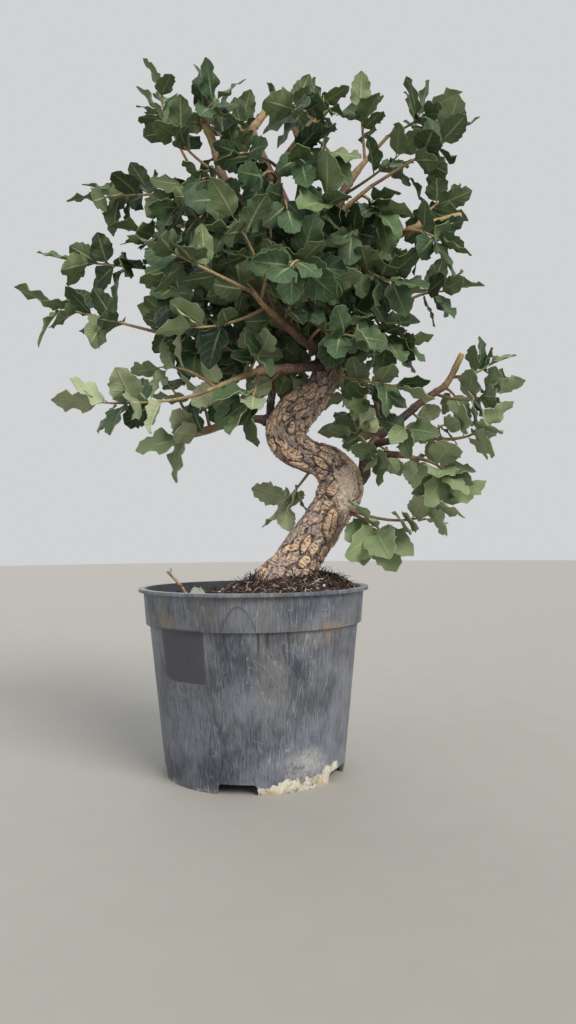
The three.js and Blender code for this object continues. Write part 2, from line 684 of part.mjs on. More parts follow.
function build() {
  const holes = [limbSolid("trunk", SEAT), deadTwigSolid(SEAT)];
  const tree = new THREE.Group();
  tree.add(meshOf("pot", potSolid(), POT_PLASTIC));
  tree.add(meshOf("soil", soilSolid(holes), DARK_SOIL));
  tree.add(meshOf("dead_twig", deadTwigSolid(0), DEAD_WOOD));
  tree.add(meshOf("fallen_leaf", fallenLeafSolid(), PALE_LEAF));
  tree.add(...plant());
  return tree;
}

function toBottomCentre(tree) {
  const box = new THREE.Box3().setFromObject(tree);
  const middle = box.getCenter(new THREE.Vector3());
  tree.position.set(-middle.x, -middle.y, -box.min.z);
  const moved = new THREE.Group();
  moved.add(tree);
  return moved;
}

export default toBottomCentre(build());
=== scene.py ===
"""The looks of a cork oak bonsai in its round plastic pot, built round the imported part.

The tree is worked out in millimetres round the pot's axis, as in the part's source: the foot of
the pot at Z = 0 and the front towards -Y. in_row() moves it to the part's own frame, in metres.
"""

import itertools
import math

import bmesh
import bpy
import numpy as np
from mathutils import Matrix, Vector


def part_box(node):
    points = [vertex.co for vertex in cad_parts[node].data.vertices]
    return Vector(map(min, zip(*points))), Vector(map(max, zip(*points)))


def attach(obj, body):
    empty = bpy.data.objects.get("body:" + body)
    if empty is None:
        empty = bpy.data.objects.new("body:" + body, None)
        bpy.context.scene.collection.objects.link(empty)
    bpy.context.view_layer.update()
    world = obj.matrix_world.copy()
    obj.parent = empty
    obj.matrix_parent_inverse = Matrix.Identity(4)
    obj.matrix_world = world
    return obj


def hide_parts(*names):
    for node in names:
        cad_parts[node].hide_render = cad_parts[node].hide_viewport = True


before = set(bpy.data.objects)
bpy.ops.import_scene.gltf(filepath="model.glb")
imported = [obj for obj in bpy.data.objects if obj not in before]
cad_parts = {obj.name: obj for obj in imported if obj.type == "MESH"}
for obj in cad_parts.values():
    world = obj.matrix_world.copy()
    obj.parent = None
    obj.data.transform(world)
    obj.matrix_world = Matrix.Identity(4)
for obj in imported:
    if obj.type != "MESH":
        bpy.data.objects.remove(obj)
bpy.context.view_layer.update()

# What the part's source also says, in millimetres

POT_HEIGHT = 149
RIM_RADIUS = 95
LIP_DEPTH = 2.5
COLLAR_DEPTH = 26
UNDER_LIP = POT_HEIGHT - LIP_DEPTH
COLLAR_LOW = UNDER_LIP - COLLAR_DEPTH
COLLAR_TOP_RADIUS = 91
COLLAR_LOW_RADIUS = 89
BODY_TOP_RADIUS = 86
FOOT_RADIUS = 73.4
POT_WALL = 1.8
FOOT_RING = 3
FLOOR_LOW = 8
FLOOR_THICK = 2
NOTCHES = 5
NOTCH_WIDTH = 31
NOTCH_ANGLE = -98
DRAIN_RADIUS = 5
DRAIN_CIRCLE = 48

SOIL_LEVEL = 140
SOIL_ROOM = 0.45
SEAT = 0.35
MOUND = {"x": 31, "y": 2, "height": 21, "spread": 34}
ROOT_LUMP = {"x": 68, "y": -4, "height": 6, "spread": 11}

BARK_RIDGES = 5
BARK_RISE = 1.2
BARK_STARTS = 2.2

DEAD_TWIG = [(-50, -19, 133), (-57, -21, 149), (-69, -24, 163)]
FALLEN_LEAF = {"x": -52, "y": -34, "above": 1.3, "turn": 0.35, "lean": (-0.1, 0.02)}
FALLEN_LEAF_SIZE = (15, 4.2)
PROPPED_LEAF = {"x": -51, "y": -27, "above": 3.9, "turn": 0.05, "lean": (0.2, -1.5)}
PROPPED_LEAF_SIZE = (13, 4.8)

TWIG_STEP = 30
TWIG_PROBES = 12
LIMB_PROBES = 6

SEED = 20417
GOLDEN_ANGLE = math.pi * (3 - math.sqrt(5))
FIRST_LEAF = 0.38
LEAF_ROOT = 0.5
TIP_LEAF_ROOT = -0.5
LEAF_LEAN = (1.15, 0.8)
LEAN_SPREAD = 0.5
TURN_SPREAD = 2.4
ROLL_SPREAD = 1.5
# How far a leaf leans up, and how much its upper face looks up and towards the twig's tip
SOURCE_HABIT = (0.12, 0.9, 0.6)
LEAF_LENGTHS = (0.92, 1.25)
LEAF_WIDTHS = (0.56, 0.73)
LEAF_DROOP = (-0.05, 0.3)
LEAF_FOLD = (-0.25, 0.45)
LEAF_WAVE = (0.02, 0.06)
WAVES_ON_A_LEAF = 1.6
LEAF_ROOM = 3.7
LEAF_ROOM_AT_WOOD = 2.7
SISTER_ROOM = 2.9
TWIG_ROOM = 2.4
LIMB_ROOM = 1.6
TWIG_SEAT_ROOM = 12
LEAF_TRIES = 24
# Only what is this near a leaf's foot can be in its way: in leaf lengths, and so much more
NEAR_LENGTHS = 2.2
NEAR_ROOM = 12

CROWN_CENTRE = (14, 0, 430)
CROWN_RADII = (104, 104, 118)
FILLERS = 14
FILLER_DIRECTIONS = 110
FILLER_LOWEST = -0.8
FILLER_SPACING = 48
FILLER_START_SPACING = 9
FILLER_REACH = (24, 85)
FILLER_RISE = 0.1
FILLER_LEAVES = 5
FILLER_LEAF = 27

# Middle line and radii of each limb
LIMBS = {
    "trunk": (
        [
            (4, 0, 98), (13, 0, 130), (22, 0, 147), (33, 0, 165), (44, 0, 182), (58, 2, 202),
            (68, 4, 218), (73, 5, 231), (70, 4, 243), (60, 1, 252), (46, -4, 257), (34, -8, 264),
            (28, -10, 275), (32, -8, 288), (42, -4, 299), (52, 0, 309), (61, 3, 324), (64, 5, 345),
            (62, 5, 371), (57, 3, 396), (52, 0, 421),
        ],
        [
            13, 20, 24, 19.5, 17.5, 17, 17.4, 18, 16.6, 14.4, 13.4,
            15, 16.4, 16, 14.4, 12.4, 11.4, 10.4, 9.4, 8, 6.4,
        ],
    ),
    "up_left": (
        [(56, 3, 405), (33, -12, 429), (-1, -30, 455), (-20, -38, 478), (-26, -42, 499), (-35, -46, 522)],
        [4.4, 3.2],
    ),
    "up_centre": (
        [(52, 0, 415), (38, 5, 458), (13, 5, 510), (2, 2, 536), (7, 2, 547), (22, 4, 569)],
        [5, 2.8],
    ),
    "front_olive": (
        [(33, -12, 429), (24, -36, 461), (25, -48, 480), (44, -58, 502), (61, -64, 520)],
        [3.4, 2.8],
    ),
    "top_stub": ([(36, 5, 462), (45, -4, 501), (40, -10, 527), (32, -12, 546)], [3, 2.2]),
    "up_right": ([(52, 0, 413), (68, 8, 459), (81, 12, 491), (95, 12, 511), (119, 10, 537)], [5, 2.8]),
    "right_stub": (
        [(57, 3, 396), (80, -18, 420), (114, -32, 430), (137, -38, 437), (169, -42, 444)],
        [4.2, 2.6],
    ),
    "right_up": ([(55, 1, 410), (64, -20, 436), (76, -34, 452), (97, -44, 467)], [3.6, 2.4]),
    "right_low": ([(62, 5, 371), (84, 8, 377), (107, 8, 383), (130, 8, 389)], [4, 2.5]),
    "front_left": (
        [(64, 5, 349), (48, -30, 344), (30, -60, 351), (14, -82, 359), (5, -95, 366)],
        [4.2, 2.5],
    ),
    "left_low": ([(63, 4, 336), (40, -25, 327), (6, -60, 316), (-29, -88, 296)], [4.4, 2.6]),
    "left_mid": ([(62, 5, 362), (24, -2, 358), (-28, -10, 360), (-68, -12, 358)], [4.6, 2.6]),
    "left_high": ([(57, 3, 394), (7, 10, 409), (-45, 10, 417)], [4, 2.4]),
    "left_up": ([(56, 3, 402), (16, 14, 448), (-23, 14, 477), (-48, 12, 488)], [4.2, 2.4]),
    "right_spray": (
        [(74, 7, 232), (92, 8, 241), (96, 6, 258), (103, 4, 269), (109, 2, 279), (112, 0, 289)],
        [5.6, 4],
    ),
    "spray_stub": (
        [(105, 3, 273), (124, -4, 287), (140, -10, 300), (152, -14, 308), (161, -18, 315), (173, -20, 338)],
        [3.8, 2.4],
    ),
    "spray_mid": ([(102, 4, 268), (119, -12, 269), (135, -24, 271), (146, -32, 267)], [3.2, 2.2]),
    "spray_low": ([(97, 6, 260), (119, -10, 257), (134, -20, 253)], [3.2, 2.2]),
    "spray_up": ([(110, 1, 283), (105, 4, 307), (106, 6, 335)], [3, 2.1]),
    "left_stem": ([(30, -8, 279), (16, 2, 294), (16, 4, 311), (15, 6, 332), (8, 10, 350)], [4, 2.3]),
    "left_stub": ([(25, -4, 284), (2, -10, 288), (-21, -16, 282), (-48, -20, 276)], [3.6, 2.4]),
    "back_low": ([(64, 5, 344), (67, 42, 346), (60, 76, 353), (50, 98, 362)], [4.4, 2.5]),
    "back_left": ([(60, 4, 383), (32, 40, 394), (-8, 66, 401), (-44, 78, 404)], [4.4, 2.4]),
    "back_right": ([(57, 3, 398), (82, 38, 418), (106, 58, 430), (126, 66, 444)], [4.4, 2.4]),
    "back_up": ([(54, 2, 408), (48, 34, 446), (30, 54, 486), (16, 58, 520)], [4.4, 2.4]),
}

# Shoots, listed one by one: limb, share of the way along it, middle, tip, leaves, leaf length
SHOOTS = [
    ("left_high", 1, (-96, 6, 422), (-150, -5, 424), 5, 28),
    ("left_mid", 1, (-104, -20, 366), (-158, -30, 378), 6, 29),
    ("left_low", 1, (-58, -104, 286), (-100, -116, 283), 5, 30),
    ("left_up", 1, (-87, 6, 486), (-128, 0, 481), 5, 28),
    ("left_up", 0.62, (-60, 36, 500), (-112, 44, 508), 4, 27),
    ("left_up", 0.8, (-62, 2, 528), (-78, -2, 572), 5, 27),
    ("up_centre", 0.3, (-4, -22, 502), (-38, -30, 532), 5, 28),
    ("up_left", 0.62, (-44, -50, 492), (-64, -58, 514), 4, 26),
    ("up_left", 0.97, (-34, -56, 520), (-24, -66, 524), 4, 27),
    ("up_centre", 0.72, (-8, 18, 548), (-10, 30, 562), 4, 26),
    ("up_centre", 0.97, (34, 14, 568), (44, 22, 572), 4, 25),
    ("front_olive", 0.9, (48, -70, 512), (36, -82, 508), 4, 27),
    ("top_stub", 0.95, (44, -22, 540), (60, -28, 544), 4, 27),
    ("up_right", 1, (136, 6, 544), (150, 2, 552), 5, 28),
    ("up_right", 0.8, (98, 14, 540), (96, 12, 562), 4, 27),
    ("up_right", 0.45, (102, -14, 490), (124, -28, 502), 4, 27),
    ("right_up", 1, (130, -52, 484), (158, -56, 500), 5, 28),
    ("right_stub", 0.72, (144, -22, 454), (160, -10, 470), 5, 27),
    ("right_stub", 0.6, (132, -56, 426), (146, -68, 414), 5, 28),
    ("right_low", 1, (146, 4, 396), (166, 0, 397), 5, 28),
    ("right_low", 0.6, (106, -12, 366), (112, -24, 348), 5, 28),
    ("right_stub", 0.3, (94, -46, 398), (112, -64, 384), 5, 27),
    ("trunk", 0.93, (44, -75, 392), (32, -128, 372), 7, 30),
    ("trunk", 0.965, (56, -54, 424), (60, -84, 440), 5, 28),
    ("trunk", 0.86, (62, -50, 346), (80, -84, 336), 5, 28),
    ("trunk", 0.81, (86, -36, 314), (116, -58, 304), 5, 28),
    ("front_left", 1, (-18, -114, 372), (-50, -128, 384), 5, 28),
    ("front_left", 0.75, (-12, -88, 346), (-38, -98, 340), 4, 27),
    ("left_low", 0.66, (6, -78, 300), (2, -86, 288), 4, 30),
    ("left_stub", 0.7, (-34, -30, 274), (-56, -36, 268), 3, 32),
    ("spray_stub", 0.85, (178, -24, 320), (192, -26, 326), 4, 24),
    ("spray_stub", 0.58, (172, -32, 298), (194, -38, 303), 4, 26),
    ("spray_mid", 1, (166, -44, 266), (180, -52, 272), 4, 27),
    ("spray_low", 1, (146, -38, 246), (150, -48, 238), 4, 30),
    ("spray_up", 1, (112, -2, 346), (128, -10, 350), 4, 26),
    ("spray_up", 0.35, (92, 28, 308), (76, 40, 322), 5, 27),
    ("right_spray", 0.72, (92, 34, 284), (84, 50, 292), 4, 27),
    ("trunk", 0.3, (118, -26, 202), (154, -42, 216), 5, 28),
    ("trunk", 0.29, (98, -14, 200), (100, -30, 192), 4, 32),
    ("trunk", 0.47, (40, 22, 236), (24, 30, 218), 4, 27),
    ("left_stem", 1, (0, 16, 366), (-10, 22, 380), 4, 26),
]

LEAF_PLACES = np.array([(s, v) for s in (0.2, 0.4, 0.6, 0.8, 1) for v in (0, 0.75, -0.75)])
BASE_PLACES = 3

# What only the looks have

CAMERA_PLACE = (29, -630, 187)
CAMERA_PITCH = 2.15
CAMERA_ROLL = -0.58
CAMERA_LENS = 26.37
CAMERA_SENSOR = 36
CAMERA_NEAR = 0.01


def pot_axis():
    low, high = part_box("pot")
    return np.array([500 * (low.x + high.x), 500 * (low.y + high.y), 0.0])


POT_AXIS = pot_axis()


def in_row(places):
    """Millimetres round the pot's axis to metres in the part's frame."""
    return (np.asarray(places, float) + POT_AXIS) / 1000


def unit(vectors):
    vectors = np.asarray(vectors, float)
    return vectors / np.linalg.norm(vectors, axis=-1, keepdims=True)


def mix(a, b, share):
    return a + (b - a) * share


def hump(values, middle, spread):
    """1 at the middle, falling off smoothly on both sides."""
    return np.exp(-(((values - middle) / spread) ** 2))


def smoothstep(values, low, high):
    share = np.clip((np.asarray(values, float) - low) / (high - low), 0, 1)
    return share * share * (3 - 2 * share)


class Draw:
    """The same seeded draw every time: a Park-Miller generator."""

    FACTOR = 48271
    LIMIT = 2147483647

    def __init__(self, seed):
        self.state = seed

    def one(self):
        self.state = self.state * self.FACTOR % self.LIMIT
        return self.state / self.LIMIT

    def within(self, bounds):
        return mix(bounds[0], bounds[1], self.one())


# Curves


class Curve:
    """What each curve has; t runs from 0 at its start to 1 at its end."""

    STEP = 0.0001

    def tangent(self, t):
        ends = np.clip([t - self.STEP, t + self.STEP], 0, 1)
        return unit(self.at(ends[1]) - self.at(ends[0]))

    def spread(self, count):
        return self.at(np.arange(count + 1) / count)

    def stretch_at(self, t):
        """Which stretch between two points t falls in, and how far along that stretch."""
        place = np.asarray(t, float) * self.stretches
        first = np.minimum(np.floor(place).astype(int), self.stretches - 1)
        return first, (place - first)[..., None]


class Spline(Curve):
    """A smooth curve through points, evenly timed between them."""

    def __init__(self, points):
        inner = np.array(points, float)
        before = 2 * inner[0] - inner[1]
        after = 2 * inner[-1] - inner[-2]
        self.points = np.vstack([before, inner, after])
        self.stretches = len(inner) - 1

    def at(self, t):
        first, w = self.stretch_at(t)
        a, b, c, d = (self.points[first + k] for k in range(4))
        into, out = 0.5 * (c - a), 0.5 * (d - b)
        curved = (-3 * b + 3 * c - 2 * into - out) * w**2
        return b + into * w + curved + (2 * b - 2 * c + into + out) * w**3


class Bow(Curve):
    """A curve that bends once, from its start to its tip, towards a handle."""

    def __init__(self, start, handle, tip):
        self.start, self.handle, self.tip = start, handle, tip

    def at(self, t):
        t = np.asarray(t, float)[..., None]
        return self.start * (1 - t) ** 2 + 2 * self.handle * (1 - t) * t + self.tip * t**2


class Chain(Curve):
    """Straight stretches between points."""

    def __init__(self, points):
        self.points = points
        self.stretches = len(points) - 1

    def at(self, t):
        first, share = self.stretch_at(t)
        return mix(self.points[first], self.points[first + 1], share)


def spread_values(values, t):
    return np.interp(np.asarray(t) * (len(values) - 1), np.arange(len(values)), values)


def sideways(axis):
    helper = np.array([0.0, 1, 0]) if abs(axis[1]) < 0.9 else np.array([1.0, 0, 0])
    return unit(helper - axis * helper.dot(axis))


# Where shoots and leaves go: the rule of the part's source


class Shoot:
    """A young twig, and the leaves that it carries."""

    def __init__(self, name, start, middle, tip, leaves, size, draw):
        self.name, self.leaves, self.size = name, leaves, size
        self.start, self.tip = np.array(start, float), np.array(tip, float)
        middle = np.array(middle, float)
        self.bow = Bow(self.start, 2 * middle - self.start / 2 - self.tip / 2, self.tip)
        length = np.linalg.norm(self.start - middle) + np.linalg.norm(middle - self.tip)
        stretches = max(2, math.floor(length / TWIG_STEP + 0.5))
        self.curve = Chain(self.bow.spread(stretches))
        self.probes = self.curve.spread(TWIG_PROBES)
        self.phase = 2 * math.pi * draw.one()
        self.habit = SOURCE_HABIT
        self.placed = []


def limb_probes():
    places, rooms = [], []
    for points, radii in LIMBS.values():
        steps = LIMB_PROBES * (len(points) - 1)
        places.append(Spline(points).spread(steps))
        rooms.append(spread_values(radii, np.arange(steps + 1) / steps) + LIMB_ROOM)
    return np.vstack(places), np.concatenate(rooms)


def hand_placed_shoots(draw):
    count, shoots = {}, []
    for limb, t, middle, tip, leaves, size in SHOOTS:
        count[limb] = count.get(limb, 0) + 1
        start = Spline(LIMBS[limb][0]).at(t)
        shoots.append(Shoot(f"shoot_{limb}_{count[limb]}", start, middle, tip, leaves, size, draw))
    return shoots


def meets(places, obstacles, room):
    """Whether any place comes closer to an obstacle than the obstacle's own room and this room."""
    at, rooms = obstacles
    if not len(at):
        return False
    gaps = np.linalg.norm(places[:, None] - at[None], axis=2)
    return bool((gaps < rooms + room).any())


def crown_place(k, filling):
    lift = (2 * k + 1) / filling["directions"] - 1
    level = math.sqrt(1 - lift * lift)
    turn = k * GOLDEN_ANGLE
    way = np.array([level * math.cos(turn), level * math.sin(turn), lift])
    return lift, way * np.array(filling["radii"]) + np.array(filling["centre"])


def twig_is_clear(shoot, others, wood):
    far = np.linalg.norm(shoot.probes - shoot.start, axis=1) > TWIG_SEAT_ROOM
    at = np.vstack([wood[0], *(other.probes for other in others)])
    rooms = np.concatenate([wood[1], np.full(len(at) - len(wood[0]), TWIG_ROOM)])
    return not meets(shoot.probes[far], (at, rooms), TWIG_ROOM)


def filling_shoot(name, tip, others, wood, draw, filling):
    starts = np.array([other.start for other in others])
    gaps = np.linalg.norm(wood[0][:, None] - starts[None], axis=2)
    unused = wood[0][(gaps > filling["start_spacing"]).all(axis=1)]
    start = unused[np.linalg.norm(unused - tip, axis=1).argmin()]
    reach = np.linalg.norm(start - tip)
    middle = mix(start, tip, 0.5)
    middle[2] += FILLER_RISE * reach
    shoot = Shoot(name, start, middle, tip, filling["leaves"], filling["leaf"], draw)
    reaches = filling["reach"][0] < reach < filling["reach"][1]
    return shoot if reaches and twig_is_clear(shoot, others, wood) else None


def filling_shoots(shoots, wood, draw, filling):
    """Shoots that fill the gaps in the crown, spread over it by the golden angle."""
    found = []
    for k in range(filling["directions"]):
        if len(found) == filling["count"]:
            break
        lift, tip = crown_place(k, filling)
        others = shoots + found
        free = all(np.linalg.norm(other.tip - tip) > filling["spacing"] for other in others)
        if lift > filling["lowest"] and free:
            name = f"{filling['name']}_{len(found) + 1}"
            shoot = filling_shoot(name, tip, others, wood, draw, filling)
            found += [shoot] if shoot else []
    return found


def leaf_way(shoot, place, axis, is_tip, draw):
    """Where a leaf points: round the twig by the golden angle, leaning out from it."""
    side = sideways(axis)
    over = np.cross(side, axis)
    turn = shoot.phase + place * GOLDEN_ANGLE + TURN_SPREAD * (draw.one() - 0.5)
    spread = LEAN_SPREAD * (draw.one() - 0.5)
    usual = mix(LEAF_LEAN[0], LEAF_LEAN[1], (place + 1) / shoot.leaves)
    lean = abs(spread) if is_tip else usual + spread
    outward = side * math.cos(turn) + over * math.sin(turn)
    along = axis * math.cos(lean) + outward * math.sin(lean)
    return unit(along + np.array([0, 0, shoot.habit[0]]))


def leaf_face(habit, along, axis, draw):
    """Which way a leaf's upper face looks: up and towards the twig's tip, rolled a little."""
    up = np.array([0, 0, habit[1]]) + axis * habit[2]
    up = unit(up - along * up.dot(along))
    across = np.cross(up, along)
    roll = ROLL_SPREAD * (draw.one() - 0.5)
    return up * math.cos(roll) + across * math.sin(roll)


class Leaf:
    """One leaf's place, directions and measures, drawn by chance within their limits."""

    def __init__(self, shoot, place, draw, is_tip):
        u = 1 - (1 - FIRST_LEAF) * (1 - (place + 1) / shoot.leaves)
        axis = shoot.curve.tangent(u)
        self.along = leaf_way(shoot, place, axis, is_tip, draw)
        self.normal = leaf_face(shoot.habit, self.along, axis, draw)
        self.length = shoot.size * draw.within(LEAF_LENGTHS)
        self.half_width = 0.5 * self.length * draw.within(LEAF_WIDTHS)
        self.droop = draw.within(LEAF_DROOP)
        self.fold = draw.within(LEAF_FOLD)
        self.wave = draw.within(LEAF_WAVE)
        self.phase = 2 * math.pi * draw.one()
        self.foot = shoot.curve.at(u) + self.along * (TIP_LEAF_ROOT if is_tip else LEAF_ROOT)
        self.side = np.cross(self.normal, self.along)
        self.youth = u
        self.probes = leaf_points(self, LEAF_PLACES[:, 0], LEAF_PLACES[:, 1])


def leaf_height(leaf, s, v):
    """Height of a leaf over its flat frame, at shares s of its length and v of its half width."""
    droop = -leaf.droop * leaf.length * s * s
    fold = leaf.fold * leaf.half_width * abs(v)
    wave = leaf.wave * leaf.length * v * np.sin(2 * math.pi * WAVES_ON_A_LEAF * s + leaf.phase)
    return droop + fold + wave


def leaf_points(leaf, s, v):
    height = leaf_height(leaf, s, v)
    flat = leaf.foot + np.outer(s * leaf.length, leaf.along) + np.outer(v * leaf.half_width, leaf.side)
    return flat + np.outer(height, leaf.normal)


class Obstacles:
    """What leaves keep clear of, with each room: wood, twigs and the leaves placed so far."""

    def __init__(self, wood, shoots, rooms):
        self.wood, self.own = wood, rooms
        self.at, self.rooms, self.owners = np.empty((0, 3)), np.empty(0), np.empty(0)
        for owner, shoot in enumerate(shoots):
            self.add(shoot.probes, owner, rooms["twig"])
            for leaf in shoot.placed:
                self.add(leaf.probes, owner, rooms["leaf"])

    def add(self, probes, owner, room):
        self.at = np.vstack([self.at, probes])
        self.rooms = np.append(self.rooms, np.full(len(probes), room))
        self.owners = np.append(self.owners, np.full(len(probes), owner))

    def near(self, leaf):
        reach = NEAR_LENGTHS * leaf.length + NEAR_ROOM
        close = (abs(self.at - leaf.foot) < reach).all(axis=1)
        return self.at[close], self.rooms[close], self.owners[close]


def leaf_is_clear(leaf, owner, shoot, obstacles):
    if meets(leaf.probes, obstacles.wood, obstacles.own["wood"]):
        return False
    outer = leaf.probes[BASE_PLACES:]
    for sister in shoot.placed:
        there = sister.probes[BASE_PLACES:]
        if meets(outer, (there, np.zeros(len(there))), 2 * obstacles.own["sister"]):
            return False
    at, rooms, owners = obstacles.near(leaf)
    strange = owners != owner
    return not meets(leaf.probes, (at[strange], rooms[strange]), obstacles.own["leaf"])


def place_leaf(shoot, owner, place, obstacles, draw):
    is_tip = place == shoot.leaves - 1
    for _ in range(LEAF_TRIES):
        leaf = Leaf(shoot, place, draw, is_tip)
        if leaf_is_clear(leaf, owner, shoot, obstacles):
            shoot.placed.append(leaf)
            obstacles.add(leaf.probes, owner, obstacles.own["leaf"])
            return


def place_leaves(shoots, obstacles, draw):
    for owner, shoot in enumerate(shoots):
        for place in range(shoot.leaves - 1, -1, -1):
            place_leaf(shoot, owner, place, obstacles, draw)


# How far leaves keep from other shoots' leaves, from wood, from leaves of their own shoot and from twigs
SOURCE_ROOMS = {"leaf": LEAF_ROOM, "wood": LEAF_ROOM_AT_WOOD, "sister": SISTER_ROOM, "twig": TWIG_ROOM}
# How many shoots at most, in how many directions from the centre, and where over the radii they end;
# how low they may point, how far apart they end and start, how long they are, and their leaves
OUTER_FILLING = {
    "name": "shoot_crown",
    "count": FILLERS,
    "directions": FILLER_DIRECTIONS,
    "centre": CROWN_CENTRE,
    "radii": CROWN_RADII,
    "lowest": FILLER_LOWEST,
    "spacing": FILLER_SPACING,
    "start_spacing": FILLER_START_SPACING,
    "reach": FILLER_REACH,
    "leaves": FILLER_LEAVES,
    "leaf": FILLER_LEAF,
}


# Extra shoots and leaves that only the looks have

INNER_ROOMS = {"leaf": 1.5, "wood": 1.8, "sister": 2.0, "twig": 1.5}
# The extra leaves hang down more, and turn their upper faces outward from the crown
HANGING_HABIT = (-0.3, 0.3, 1.2)
CROWN_HEART = (18, 0, 432)
INNER_FILLINGS = [
    {
        "name": "outer_spray", "count": 60, "directions": 120, "centre": CROWN_HEART, "radii": (92, 94, 108),
        "lowest": -0.95, "spacing": 27, "start_spacing": 4, "reach": (14, 95), "leaves": 5, "leaf": 24,
    },
    {
        "name": "middle_spray", "count": 40, "directions": 90, "centre": CROWN_HEART, "radii": (66, 68, 84),
        "lowest": -1, "spacing": 25, "start_spacing": 3, "reach": (12, 90), "leaves": 5, "leaf": 25,
    },
    {
        "name": "inner_spray", "count": 20, "directions": 60, "centre": CROWN_HEART, "radii": (40, 42, 58),
        "lowest": -1, "spacing": 23, "start_spacing": 3, "reach": (10, 70), "leaves": 4, "leaf": 26,
    },
    {
        "name": "low_right_spray", "count": 12, "directions": 60, "centre": (126, -4, 296),
        "radii": (46, 44, 46), "lowest": -1, "spacing": 27, "start_spacing": 4, "reach": (8, 60),
        "leaves": 4, "leaf": 22,
    },
    {
        "name": "low_left_spray", "count": 8, "directions": 40, "centre": (-26, -40, 330),
        "radii": (52, 56, 30), "lowest": -1, "spacing": 28, "start_spacing": 5, "reach": (10, 60),
        "leaves": 4, "leaf": 24,
    },
]


def grown_shoots():
    """The source's shoots and leaves, then extra shoots in the crown and extra leaves between the first."""
    draw = Draw(SEED)
    wood = limb_probes()
    shoots = hand_placed_shoots(draw)
    shoots += filling_shoots(shoots, wood, draw, OUTER_FILLING)
    place_leaves(shoots, Obstacles(wood, shoots, SOURCE_ROOMS), draw)
    fillings = []
    for filling in INNER_FILLINGS:
        others = shoots + list(itertools.chain(*fillings))
        found = filling_shoots(others, wood, draw, filling)
        for shoot in found:
            shoot.habit = HANGING_HABIT
        place_leaves(found, Obstacles(wood, found + others, INNER_ROOMS), draw)
        fillings.append(found)
    obstacles = Obstacles(wood, shoots + list(itertools.chain(*fillings)), INNER_ROOMS)
    for owner, shoot in enumerate(shoots):
        shoot.habit = HANGING_HABIT
        for place in range(shoot.leaves - 1):
            place_leaf(shoot, owner, place + 0.5, obstacles, draw)
    return shoots, fillings


# Numbers for grain

AXIS_FACTORS = (73856093, 19349663, 83492791)
SALT_FACTOR = 2654435
MIX_FACTOR = 1274126177
LOW_31_BITS = 0x7FFFFFFF
LOW_20_BITS = 0xFFFFF
# Each plate's middle keeps away from the edge of its cell
PLATE_MARGIN, PLATE_ROOM = 0.12, 0.76


def cell_number(cells, salt):
    """A repeatable number from 0 to 1 for each whole-numbered cell."""
    x, y, z = (cells[..., k].astype(np.int64) * AXIS_FACTORS[k] for k in range(3))
    mixed = x ^ y ^ z ^ (salt * SALT_FACTOR)
    mixed = ((mixed ^ (mixed >> 13)) & LOW_31_BITS) * MIX_FACTOR & LOW_31_BITS
    return ((mixed ^ (mixed >> 15)) & LOW_20_BITS) / LOW_20_BITS


def smooth_noise(places, size, salt):
    """Soft grain from 0 to 1, with lumps about as big as size."""
    scaled = np.asarray(places, float) / size
    base = np.floor(scaled)
    ease = scaled - base
    ease = ease * ease * (3 - 2 * ease)
    total = 0
    for corner in itertools.product((0, 1), repeat=3):
        share = np.prod(np.where(np.array(corner), ease, 1 - ease), axis=-1)
        total = total + share * cell_number(base + np.array(corner), salt)
    return total


def rough_noise(places, size, salt, layers=3):
    """Grain from -1 to 1 in layers, each half as big and half as high as the one before."""
    heights = [0.5**k for k in range(layers)]
    grain = sum(h * (2 * smooth_noise(places, size * h, salt + k) - 1) for k, h in enumerate(heights))
    return grain / sum(heights)


def plates(run, turn, long, around, salt):
    """Cracked plates round a stem: how deep in its plate each place is, and each plate's number."""
    a, b = run / long, turn / (2 * math.pi) * around
    cell_a, cell_b = np.floor(a), np.floor(b)
    nearest, second = np.full(a.shape, np.inf), np.full(a.shape, np.inf)
    own = np.zeros(a.shape)
    for step_a, step_b in itertools.product((-1, 0, 1), repeat=2):
        at_a, at_b = cell_a + step_a, cell_b + step_b
        key = np.stack([at_a, at_b % around, np.zeros(a.shape)], axis=-1)
        gap_a = at_a + PLATE_MARGIN + PLATE_ROOM * cell_number(key, salt) - a
        gap_b = at_b + PLATE_MARGIN + PLATE_ROOM * cell_number(key, salt + 1) - b
        gap = np.hypot(gap_a, gap_b)
        own = np.where(gap < nearest, cell_number(key, salt + 2), own)
        second = np.minimum(np.maximum(gap, nearest), second)
        nearest = np.minimum(gap, nearest)
    return second - nearest, own


# Meshes

# What lies closer than this is one seam, in metres
SEAM = 1e-7


def grids(name, count, along, across):
    """Flat grids in one mesh, one after another, and the row and column of each vertex on its own grid."""
    sheet = bmesh.new()
    sheet.loops.layers.uv.new("UVMap")
    for _ in range(count):
        bmesh.ops.create_grid(sheet, x_segments=along, y_segments=across, size=0.5, calc_uvs=True)
    mesh = mesh_of(sheet, name)
    shares = places_of(mesh).reshape(count, -1, 3) + 0.5
    rows, columns = (np.rint(shares[..., k] * n).astype(int) for k, n in ((0, along), (1, across)))
    return mesh, rows, columns


def mesh_of(shape, name):
    mesh = bpy.data.meshes.new(name)
    shape.to_mesh(mesh)
    shape.free()
    return mesh


def places_of(mesh):
    flat = np.empty(3 * len(mesh.vertices))
    mesh.vertices.foreach_get("co", flat)
    return flat.reshape(-1, 3)


def object_of(name, data):
    thing = bpy.data.objects.new(name, data)
    bpy.context.scene.collection.objects.link(thing)
    return thing


def put(mesh, places):
    """Moves the vertices to these places, in millimetres round the pot's axis."""
    mesh.vertices.foreach_set("co", in_row(places).astype(np.float32).ravel())
    mesh.update()


